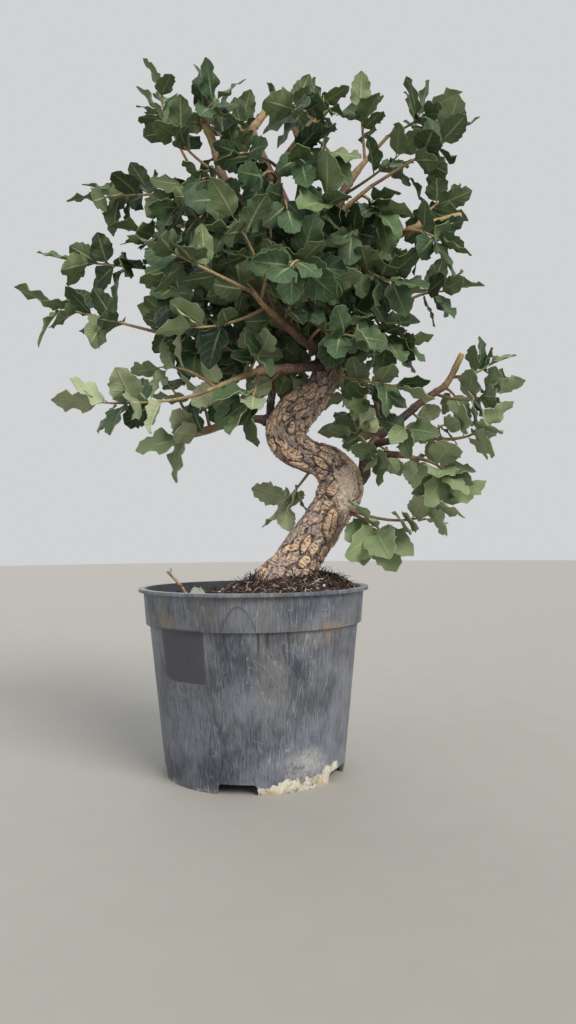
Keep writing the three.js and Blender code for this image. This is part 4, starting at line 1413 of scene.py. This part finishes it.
def fibre_starts(grain):
    """Where fibres start, thickest round the trunk."""
    at_trunk = grain.random(FIBRES) < FIBRES_AT_TRUNK
    near = grain.normal(FIBRE_HEART, FIBRE_SPREAD, (FIBRES, 2))
    far = grain.uniform(-LITTER_START, LITTER_START, (FIBRES, 2))
    starts = np.where(at_trunk[:, None], near, far)
    return starts[np.hypot(starts[:, 0], starts[:, 1]) < LITTER_START]


def fibre_runs(starts, shares, grain):
    """How each fibre wanders from its start, as X and Y at each ring, kept inside the pot."""
    count = len(starts)
    heading = grain.uniform(0, 2 * math.pi, count)[:, None]
    heading = heading + grain.uniform(-FIBRE_BEND, FIBRE_BEND, count)[:, None] * shares
    step = grain.uniform(*FIBRE_LENGTHS, count)[:, None] / FIBRE_RINGS
    x = starts[:, :1] + np.cumsum(np.cos(heading) * step, axis=1)
    y = starts[:, 1:] + np.cumsum(np.sin(heading) * step, axis=1)
    out = np.maximum(np.hypot(x, y) / LITTER_END, 1)
    return x / out, y / out


def fibre_mesh(grain):
    """Dry roots and bark fibres that lie on the soil, with a tuft of dark ones that stand."""
    starts = fibre_starts(grain)
    count = len(starts)
    shares = np.linspace(0, 1, FIBRE_RINGS)
    x, y = fibre_runs(starts, shares, grain)
    standing = (grain.random(count) < FIBRES_STANDING) * grain.uniform(*STANDING_HEIGHTS, count)
    by_tuft = np.hypot(starts[:, 0] - TUFT["x"], starts[:, 1] - TUFT["y"]) < TUFT["wide"]
    standing = np.where(by_tuft, grain.uniform(0.3, 1, count) * TUFT["tall"], standing)
    arch = grain.uniform(*FIBRE_ARCHES, count)[:, None] * np.sin(math.pi * shares)
    z = soil_height(x, y) + FIBRE_LIFT + arch + standing[:, None] * shares**1.5
    centres = np.stack([x, y, z], axis=-1)
    axes = unit(np.gradient(centres, axis=1))
    sides = unit(np.cross(axes, np.array([0.02, 0.03, 1])))
    paths = np.stack([centres, sides, np.cross(sides, axes)], axis=2)
    radii = grain.uniform(*FIBRE_RADII, count)[:, None] * mix(1, FIBRE_THINNING, shares)
    mesh, rows, _ = rods("fibres", paths, radii, FIBRE_SIDES)
    tone = np.where(by_tuft, 0.5, 1) * grain.random(count)
    mark(mesh, "tone", np.repeat(tone, rows.shape[1]))
    return closed(mesh)


def crumb_mesh(grain):
    """Loose crumbs of soil and chips of bark."""
    shape = bmesh.new()
    tones = []
    while len(tones) < CRUMBS:
        at_trunk = len(tones) % 2
        near = (CRUMB_HEART, CRUMB_SPREAD, 2)
        x, y = grain.normal(*near) if at_trunk else grain.uniform(-LITTER_END, LITTER_END, 2)
        if math.hypot(x, y) > CRUMB_END:
            continue
        size = grain.uniform(*CRUMB_SIZES)
        height = float(soil_height(np.array([x]), np.array([y]))[0]) + 0.3 * size
        turn = Matrix.Rotation(grain.uniform(0, 6.3), 4, Vector(grain.normal(0, 1, 3)).normalized())
        form = Matrix.Diagonal((size, size * grain.uniform(0.45, 1), size * grain.uniform(0.3, 0.8), 1))
        matrix = Matrix.Translation((x, y, height)) @ turn @ form
        bmesh.ops.create_icosphere(shape, subdivisions=1, radius=1, matrix=matrix)
        tones.append(grain.random())
    mesh = mesh_of(shape, "crumbs")
    places = places_of(mesh)
    put(mesh, places + grain.uniform(-CRUMB_ROUGHNESS, CRUMB_ROUGHNESS, places.shape))
    mark(mesh, "tone", np.repeat(tones, len(mesh.vertices) // len(tones)))
    return mesh


def soil_finish():
    paint = Paint("dark_potting_soil")
    place = paint.place()
    fine, broad = paint.noise(place, 800, 5, 0.75), paint.noise(place, 90, 3)
    soil = paint.blend("1b1718", "433936", paint.smooth(fine, 0.35, 0.65))
    soil = paint.blend(soil, "645248", paint.smooth(fine + broad, 1.05, 1.3) * 0.7)
    bump = paint.bump(fine, 0.0012, 1)
    return paint.finish({"Base Color": soil, "Roughness": 0.95, "Normal": bump})


def litter_finish():
    paint = Paint("dry_roots_and_chips")
    place = paint.place()
    tone, fine = paint.mark("tone"), paint.noise(place, 1500, 2)
    litter = paint.layers(
        "191516",
        ("49362e", paint.smooth(tone, 0.3, 0.56)),
        ("7d604c", paint.smooth(tone, 0.68, 0.78)),
        ("cdc0af", paint.smooth(tone + (fine - 0.5) * 0.3, 0.87, 0.96)),
    )
    return paint.finish({"Base Color": litter, "Roughness": 0.9})


# Pot

POT_STEPS = 160
DRAIN_SIDES = 24
NOTCH_CORNER = 3
NOTCH_TAPER = 1
EDGE_ROUND = {"width": 0.0006, "segments": 3, "limit_method": "ANGLE", "angle_limit": math.radians(30)}

# Places on the pot's wall: degrees round the axis and millimetres of height
PATCH = {"from": -144, "to": -113, "low": 81, "high": 122}
RIGHT_RUST = {"angle": -47, "wide": 19, "height": 121.5, "tall": 4.2}
RIGHT_DRIPS = {"angle": -52, "wide": 24, "height": 117, "tall": 13}
LEFT_RUST = {"angle": -140, "wide": 17, "height": 128, "tall": 9}
ARCH = {"angle": -95, "wide": 8.3, "height": 139, "tall": 18}
CRUST_START, CRUST_END = -96, -26
HAZE = {"angle": -57, "wide": 20, "height": 18, "tall": 16}
# A point in the thickness of the collar's wall, and how fast the wall leans out
WALL_MIDDLE = {"height": 122.5, "radius": 88.1, "lean": 0.083}


def pot_profile():
    """Half of the pot's section, as radius and height: from the floor's underside up and round."""
    floor_radius = mix(FOOT_RADIUS, BODY_TOP_RADIUS, FLOOR_LOW / COLLAR_LOW) - POT_WALL
    return [
        (0, FLOOR_LOW),
        (FOOT_RADIUS - FOOT_RING, FLOOR_LOW),
        (FOOT_RADIUS - FOOT_RING, 0),
        (FOOT_RADIUS, 0),
        (BODY_TOP_RADIUS, COLLAR_LOW),
        (COLLAR_LOW_RADIUS, COLLAR_LOW),
        (COLLAR_TOP_RADIUS, UNDER_LIP),
        (RIM_RADIUS, UNDER_LIP),
        (RIM_RADIUS, POT_HEIGHT),
        (COLLAR_TOP_RADIUS - POT_WALL, POT_HEIGHT),
        (COLLAR_LOW_RADIUS - POT_WALL, COLLAR_LOW + POT_WALL),
        (BODY_TOP_RADIUS - POT_WALL, COLLAR_LOW + POT_WALL),
        (floor_radius, FLOOR_LOW + FLOOR_THICK),
        (0, FLOOR_LOW + FLOOR_THICK),
    ]


def put_in_row(shape):
    """Scales a form made in millimetres round the pot's axis to its place in the part."""
    matrix = Matrix.Translation(in_row((0, 0, 0))) @ Matrix.Scale(0.001, 4)
    bmesh.ops.transform(shape, matrix=matrix, verts=shape.verts[:])


def turned(name, profile):
    """A profile of radius and height, spun all the way round."""
    shape = bmesh.new()
    corners = [shape.verts.new((radius, 0, height)) for radius, height in profile]
    edges = [shape.edges.new(pair) for pair in zip(corners, corners[1:])]
    whole = {"angle": 2 * math.pi, "steps": POT_STEPS, "use_merge": True}
    bmesh.ops.spin(shape, geom=corners + edges, cent=(0, 0, 0), axis=(0, 0, 1), **whole)
    bmesh.ops.remove_doubles(shape, verts=shape.verts[:], dist=0.001)
    bmesh.ops.recalc_face_normals(shape, faces=shape.faces[:])
    put_in_row(shape)
    return mesh_of(shape, name)


def notch_cutter(shape, turn):
    """A block that cuts one notch: narrower at the top, where its two corners are rounded."""
    size = (NOTCH_WIDTH, 4 * FOOT_RING, FLOOR_LOW + 1)
    place = (0, FOOT_RADIUS, (FLOOR_LOW - 1) / 2)
    form = Matrix.Translation(place) @ Matrix.Diagonal((*size, 1))
    corners = bmesh.ops.create_cube(shape, size=1, matrix=form)["verts"]
    upper = [corner for corner in corners if corner.co.z > FLOOR_LOW - 1]
    for corner in upper:
        corner.co.x -= math.copysign(NOTCH_TAPER, corner.co.x)
    edges = [edge for edge in shape.edges if all(corner in upper for corner in edge.verts)]
    sides = [edge for edge in edges if edge.verts[0].co.x * edge.verts[1].co.x > 0]
    settings = {"affect": "EDGES", "offset": NOTCH_CORNER, "segments": 4, "profile": 0.5, "material": -1}
    rounded = bmesh.ops.bevel(shape, geom=sides, **settings)
    moved = {*(corner for corner in corners if corner.is_valid), *rounded["verts"]}
    bmesh.ops.rotate(shape, cent=(0, 0, 0), matrix=turn, verts=list(moved))


def foot_cutters():
    """What is cut out of the foot: the notches, and a drain hole inside each."""
    shape = bmesh.new()
    radii = {"radius1": DRAIN_RADIUS, "radius2": DRAIN_RADIUS}
    form = {"cap_ends": True, "segments": DRAIN_SIDES, "depth": 4 * FLOOR_THICK, **radii}
    for k in range(NOTCHES):
        turn = Matrix.Rotation(math.radians(NOTCH_ANGLE - 90 + 360 * k / NOTCHES), 4, "Z")
        notch_cutter(shape, turn)
        drain = turn @ Matrix.Translation((0, DRAIN_CIRCLE, FLOOR_LOW))
        bmesh.ops.create_cone(shape, matrix=drain, **form)
    bmesh.ops.recalc_face_normals(shape, faces=shape.faces[:])
    put_in_row(shape)
    return mesh_of(shape, "foot_cutters")


def pot_mesh():
    """The turned wall with its foot cut out and its edges rounded."""
    cutters = object_of("foot_cutters", foot_cutters())
    cut = {"object": cutters, "operation": "DIFFERENCE", "solver": "EXACT"}
    mesh = with_modifiers(turned("pot_wall", pot_profile()), ("BOOLEAN", cut), ("BEVEL", EDGE_ROUND))
    bpy.data.objects.remove(cutters)
    return mesh


def blob(paint, angle, height, spot):
    """1 in the middle of a spot on the wall, fading to 0 at its edge."""
    round_it = (angle - spot["angle"]) / spot["wide"]
    up_it = (height - spot["height"]) / spot["tall"]
    return paint.smooth(round_it * round_it + up_it * up_it, 1, 0)


def straight_scratches(paint, place, lean, scale):
    """Long thin lines that lean by an angle from upright."""
    sockets = {"Vector": place, "Angle": lean}
    leaning = paint.node("ShaderNodeVectorRotate", {"rotation_type": "Y_AXIS"}, sockets)
    lines = paint.noise(paint.stretched(leaning, (1, 1, 0.035)), scale, 1)
    gaps = paint.smooth(paint.noise(paint.stretched(leaning, (1, 1, 0.3)), scale * 0.45, 2), 0.52, 0.6)
    return paint.smooth(paint.sum("ABSOLUTE", lines - 0.5), 0.009, 0.002) * gaps


def pot_plastic(paint, place, height):
    """Dark slate plastic, greyed in upright streaks and thinly scratched."""
    streaks = paint.noise(paint.stretched(place, (1, 1, 0.04)), 900, 4, 0.7)
    drifts = paint.noise(paint.stretched(place, (1, 1, 0.22)), 110, 4, 0.65)
    clouds = paint.noise(place, 24, 4, 0.6)
    grime = paint.smooth(streaks * 1.2 + drifts * 0.4 + clouds * 1.2, 1.05, 1.75)
    plastic = paint.blend("393d46", "777c87", grime)
    olive = paint.smooth(paint.noise(paint.stretched(place, (1, 1, 0.35)), 34, 2), 0.42, 0.64)
    plastic = paint.blend(plastic, "706e64", olive * paint.smooth(height, 20, 105) * 0.45)
    scratch = straight_scratches(paint, place, 0.06, 300) + straight_scratches(paint, place, -0.12, 170)
    scratch = scratch + straight_scratches(paint, place, 0.75, 90) * 0.5
    plastic = paint.blend(plastic, "a7aab0", paint.sum("MINIMUM", scratch, 1) * 0.5)
    drip = paint.smooth(paint.noise(paint.stretched(place, (1, 1, 0.02)), 300, 1), 0.62, 0.7)
    drip = drip * paint.smooth(height, 80, 119) * paint.smooth(height, COLLAR_LOW + 1, COLLAR_LOW - 0.5)
    plastic = paint.blend(plastic, "2a2b32", drip * 0.75)
    specks = paint.smooth(paint.cells(place, 300), 0.12, 0.06) * paint.smooth(clouds, 0.5, 0.64)
    return paint.blend(plastic, "b9b7b0", specks * 0.5), streaks


def patch_share(paint, angle, height, edge):
    """The rectangle where a covering came off, so that the plastic stayed dark."""
    inside = paint.smooth(angle + edge * 0.3, PATCH["from"], PATCH["from"] + 1.6)
    inside = inside * paint.smooth(angle, PATCH["to"], PATCH["to"] - 0.8)
    bottom = PATCH["low"] + paint.smooth(angle, PATCH["from"] + 9, PATCH["from"]) * 4
    inside = inside * paint.smooth(height + edge * 0.15 - bottom, 0, 0.8)
    return inside * paint.smooth(height, PATCH["high"], PATCH["high"] - 0.5)


def arch_share(paint, angle, height, edge):
    """A curved tide mark on the collar, and what lies inside it."""
    across = (angle - ARCH["angle"]) / ARCH["wide"]
    curve = ARCH["height"] - across * across * ARCH["tall"]
    off = height - curve + edge * 0.3
    on_collar = paint.smooth(height, COLLAR_LOW - 0.5, COLLAR_LOW + 0.5)
    line = paint.smooth(paint.sum("ABSOLUTE", off), 1.7, 0.2)
    return line * on_collar, paint.smooth(off, 0, -6) * on_collar


def pot_marks(paint, plastic, place, angle, height):
    """The dark rectangle, the tide mark and the rust, laid over the plastic."""
    fine, broad = paint.noise(place, 620, 4, 0.7), paint.noise(place, 75, 3)
    edge = (broad - 0.5) * 5
    plastic = paint.blend(plastic, "3f404b", patch_share(paint, angle, height, edge) * 0.88)
    arch, under_arch = arch_share(paint, angle, height, edge)
    plastic = paint.blend(plastic, "76746b", under_arch * 0.22)
    plastic = paint.blend(plastic, "393a42", arch * 0.55)
    drops = paint.smooth(paint.noise(paint.stretched(place, (1, 1, 0.09)), 420, 4, 0.7), 0.36, 0.62)
    rusty = paint.blend("7a6a4e", "a08154", fine)
    for rust, strength in ((RIGHT_RUST, 1.0), (RIGHT_DRIPS, 0.5), (LEFT_RUST, 0.55)):
        share = blob(paint, angle, height, rust) * paint.smooth(fine + broad, 0.75, 1.15) * drops
        plastic = paint.blend(plastic, rusty, share * strength)
    return plastic


def pot_limescale(paint, plastic, place, angle, height):
    """A pale haze and a ragged crust at the foot, and how much of the crust there is."""
    fine, broad = paint.noise(place, 480, 5, 0.75), paint.noise(place, 70, 4, 0.65)
    haze = blob(paint, angle, height, HAZE) * paint.smooth(fine + broad, 0.7, 1.25)
    plastic = paint.blend(plastic, "b7b6b2", haze * 0.75)
    climb = paint.smooth(angle, CRUST_START, CRUST_END)
    within = paint.smooth(angle, CRUST_START, CRUST_START + 8)
    within = within * paint.smooth(angle, CRUST_END, CRUST_END - 5)
    top = climb * 9 + (broad - 0.5) * 26 + 5.5
    crust = paint.smooth(top - height + (fine - 0.5) * 9, 0, 2)
    crust = crust * within * paint.smooth(fine + broad, 0.74, 0.86)
    lime = paint.blend("8f897b", "d3cfc0", paint.smooth(fine * 0.6 + broad * 0.6, 0.46, 0.66))
    stain = paint.smooth(paint.noise(place, 120, 3), 0.45, 0.62) * paint.smooth(height, 11, 2)
    lime = paint.blend(lime, "a8925f", stain * 0.75)
    rim = paint.smooth(height, 5, 0.5) * paint.smooth(fine + broad, 0.9, 1.15) * 0.6
    crust = paint.sum("MAXIMUM", crust, rim)
    return paint.blend(plastic, lime, crust), crust


def pot_finish():
    paint = Paint("weathered_pot_plastic")
    place = paint.place()
    x, y, z = paint.parts(place)
    height = z * 1000
    angle = paint.sum("ARCTAN2", y, x) * (180 / math.pi)
    plastic, streaks = pot_plastic(paint, place, height)
    plastic = pot_marks(paint, plastic, place, angle, height)
    middle = (height - WALL_MIDDLE["height"]) * WALL_MIDDLE["lean"] + WALL_MIDDLE["radius"]
    inside = paint.smooth(paint.sum("SQRT", x * x + y * y) * 1000 - middle, 0.3, -0.3)
    plastic = paint.blend(plastic, "25262b", inside * paint.smooth(height, 123, 124) * 0.8)
    plastic, crust = pot_limescale(paint, plastic, place, angle, height)
    bump = paint.bump(streaks + crust * paint.noise(place, 700, 4, 0.7) * 3, 0.00025, 0.6)
    return paint.finish({"Base Color": plastic, "Roughness": crust * 0.3 + 0.52, "Normal": bump})


# What lies on the soil

DEAD_TWIG_RADII = [1.5, 1]
DEAD_TWIG_RINGS = 40
DEAD_TWIG_SIDES = 14
# Stubs on the dead twig: middle line and radii
DEAD_TWIG_STUBS = [
    ([(-57, -21, 149), (-59.5, -23, 152)], [1.2, 0.5]),
    ([(-67, -23.5, 160), (-66, -22, 165)], [1.1, 0.5]),
]


def bumpy_rod(name, points, radii, rings, sides, salt, roughness):
    shares = np.linspace(0, 1, rings + 1)
    path = frames_along(Spline(points), shares)
    radius = spread_values(radii, shares)[:, None]
    base = path[:, 0][:, None] + ways_round(path, turns(sides)) * radius[..., None]
    radius = radius * (1 + roughness * rough_noise(base, 2.5, salt))
    return closed(rods(name, path[None], radius[None], sides)[0])


def dead_twig_piece():
    stem = bumpy_rod("stem", DEAD_TWIG, DEAD_TWIG_RADII, DEAD_TWIG_RINGS, DEAD_TWIG_SIDES, 41, 0.25)
    stubs = [bumpy_rod("stub", points, radii, 6, 10, 43, 0.2) for points, radii in DEAD_TWIG_STUBS]
    paint = Paint("dead_wood")
    place = paint.place()
    fine = paint.noise(paint.stretched(place, (1, 1, 0.4)), 900, 4, 0.7)
    wood = paint.blend("6b5743", "b49a76", paint.smooth(fine, 0.38, 0.62))
    wood = paint.blend(wood, "4a3a30", paint.smooth(paint.noise(place, 240, 2), 0.56, 0.66))
    bump = paint.bump(fine, 0.0004, 0.8)
    finish = paint.finish({"Base Color": wood, "Roughness": 0.85, "Normal": bump})
    piece("dead_twig_wood", joined("dead_twig_wood", [stem, *stubs]), [finish], ["dead_twig"])


class FallenLeaf:
    """A pale leaf on the soil, with the numbers that every leaf has."""

    def __init__(self, place, size):
        x, y, turn = place["x"], place["y"], place["turn"]
        height = SOIL_LEVEL + rise(MOUND, x, y)
        self.normal = unit([*place["lean"], 1])
        along = np.array([math.cos(turn), math.sin(turn), 0])
        self.along = unit(along - self.normal * along.dot(self.normal))
        self.side = np.cross(self.normal, self.along)
        self.foot = np.array([x, y, height + place["above"] + 0.6])
        self.length, self.half_width = size
        self.droop, self.fold, self.wave, self.phase, self.youth = 0, 0.35, 0.05, 0, 1


def pale_leaf():
    paint = Paint("fallen_leaf")
    midrib, side, _, _ = leaf_veins(paint)
    fine = paint.noise(paint.place(), 900, 3)
    pale = paint.blend("78897a", "98a692", paint.smooth(fine, 0.4, 0.62))
    pale = paint.blend(pale, "b9c0a2", midrib * 0.8 + side * 0.25)
    bump = paint.bump(midrib + side * 0.6 + fine * 0.4, 0.0003, 0.7)
    return paint.finish({"Base Color": pale, "Roughness": 0.7, "Normal": bump})


def fallen_leaf_piece(name, leaf, finish, nodes, grain):
    finishes = [finish, finish]
    piece(name, thick_blades(name, [leaf], finishes, grain), finishes, nodes, smooth_angle=60)


# Putting the plant together


def limb_of(shoot):
    return shoot.name.removeprefix("shoot_").rsplit("_", 1)[0]


def shoot_pieces(grain, wood_finish):
    shoots, fillings = grown_shoots()
    finishes = [leaf_top(), leaf_under(), wood_finish]
    for name, limbs in SHOOT_PIECES.items():
        own = [shoot for shoot in shoots if limb_of(shoot) in limbs]
        shoot_piece(name, own, finishes, [shoot.name for shoot in own], grain)
    for filling, found in zip(INNER_FILLINGS, fillings):
        shoot_piece(filling["name"], found, finishes, [], grain)


def plant_pieces(grain):
    wood_finish = limb_bark()
    shoot_pieces(grain, wood_finish)
    piece("trunk_bark", trunk_mesh(), [cork_bark()], ["trunk_and_branches"])
    piece("limbs", limb_mesh(), [wood_finish])


def soil_pieces(grain):
    litter = litter_finish()
    piece("soil_bed", soil_mesh(), [soil_finish()], ["soil"], smooth_angle=40)
    piece("soil_fibres", fibre_mesh(grain), [litter])
    piece("soil_crumbs", crumb_mesh(grain), [litter], smooth_angle=30)


# Where it is seen

FLOOR_RADIUS = 6
FLOOR_CORNERS = 96
SKY = "d1d2d4"
AIM = (30, 0, 300)
# Where each soft sun comes from, how wide it is in degrees, its strength and colour
LAMPS = [
    ("key", (760, -900, 1150), 34, 3.15, "fffaf3"),
    ("fill", (-900, -500, 700), 80, 0.35, "f2f5ff"),
    ("back", (-300, 900, 900), 60, 0.7, "ffffff"),
]


def floor():
    """A plain pale floor, which belongs to the stage and not to the part."""
    paint = Paint("pale_floor")
    grain = paint.noise(paint.place(), 30, 3)
    tone = paint.blend("999791", "9f9d97", grain)
    finish = paint.finish({"Base Color": tone, "Roughness": 0.85})
    shape = bmesh.new()
    bmesh.ops.create_circle(shape, cap_ends=True, segments=FLOOR_CORNERS, radius=FLOOR_RADIUS)
    mesh = mesh_of(shape, "floor")
    mesh.materials.append(finish)
    object_of("floor", mesh)


def lamp(name, place, wide, power, code):
    light = bpy.data.lights.new(name, "SUN")
    light.angle = math.radians(wide)
    light.energy = power
    light.color = colour(code)[:3]
    way = Vector(in_row(AIM)) - Vector(in_row(place))
    turn = way.to_track_quat("-Z", "Y").to_matrix().to_4x4()
    object_of(name, light).matrix_world = Matrix.Translation(in_row(place)) @ turn


def sky():
    world = bpy.data.worlds.new("pale_studio")
    world.use_nodes = True
    background = world.node_tree.nodes["Background"]
    background.inputs["Color"].default_value = colour(SKY)
    background.inputs["Strength"].default_value = 1
    bpy.context.scene.world = world


def camera():
    lens = bpy.data.cameras.new("photo_angle")
    lens.lens = CAMERA_LENS
    lens.sensor_width = CAMERA_SENSOR
    lens.clip_start = CAMERA_NEAR
    eye = object_of("photo_angle", lens)
    pitch = Matrix.Rotation(math.radians(90 + CAMERA_PITCH), 4, "X")
    roll = Matrix.Rotation(math.radians(CAMERA_ROLL), 4, "Z")
    eye.matrix_world = Matrix.Translation(in_row(CAMERA_PLACE)) @ pitch @ roll
    bpy.context.scene.camera = eye


def studio():
    floor()
    sky()
    for settings in LAMPS:
        lamp(*settings)
    camera()
    bpy.context.scene.view_settings.view_transform = "Standard"


def corners(box):
    return [[float(value) for value in corner] for corner in box]


def build():
    grain = np.random.default_rng(SEED)
    piece("pot_shell", pot_mesh(), [pot_finish()], ["pot"], smooth_angle=35)
    soil_pieces(grain)
    dead_twig_piece()
    leaf_finish = pale_leaf()
    fallen = FallenLeaf(FALLEN_LEAF, FALLEN_LEAF_SIZE)
    fallen_leaf_piece("fallen_leaf_blade", fallen, leaf_finish, ["fallen_leaf"], grain)
    plant_pieces(grain)
    propped = FallenLeaf(PROPPED_LEAF, PROPPED_LEAF_SIZE)
    fallen_leaf_piece("propped_leaf_blade", propped, leaf_finish, [], grain)
    studio()


build()
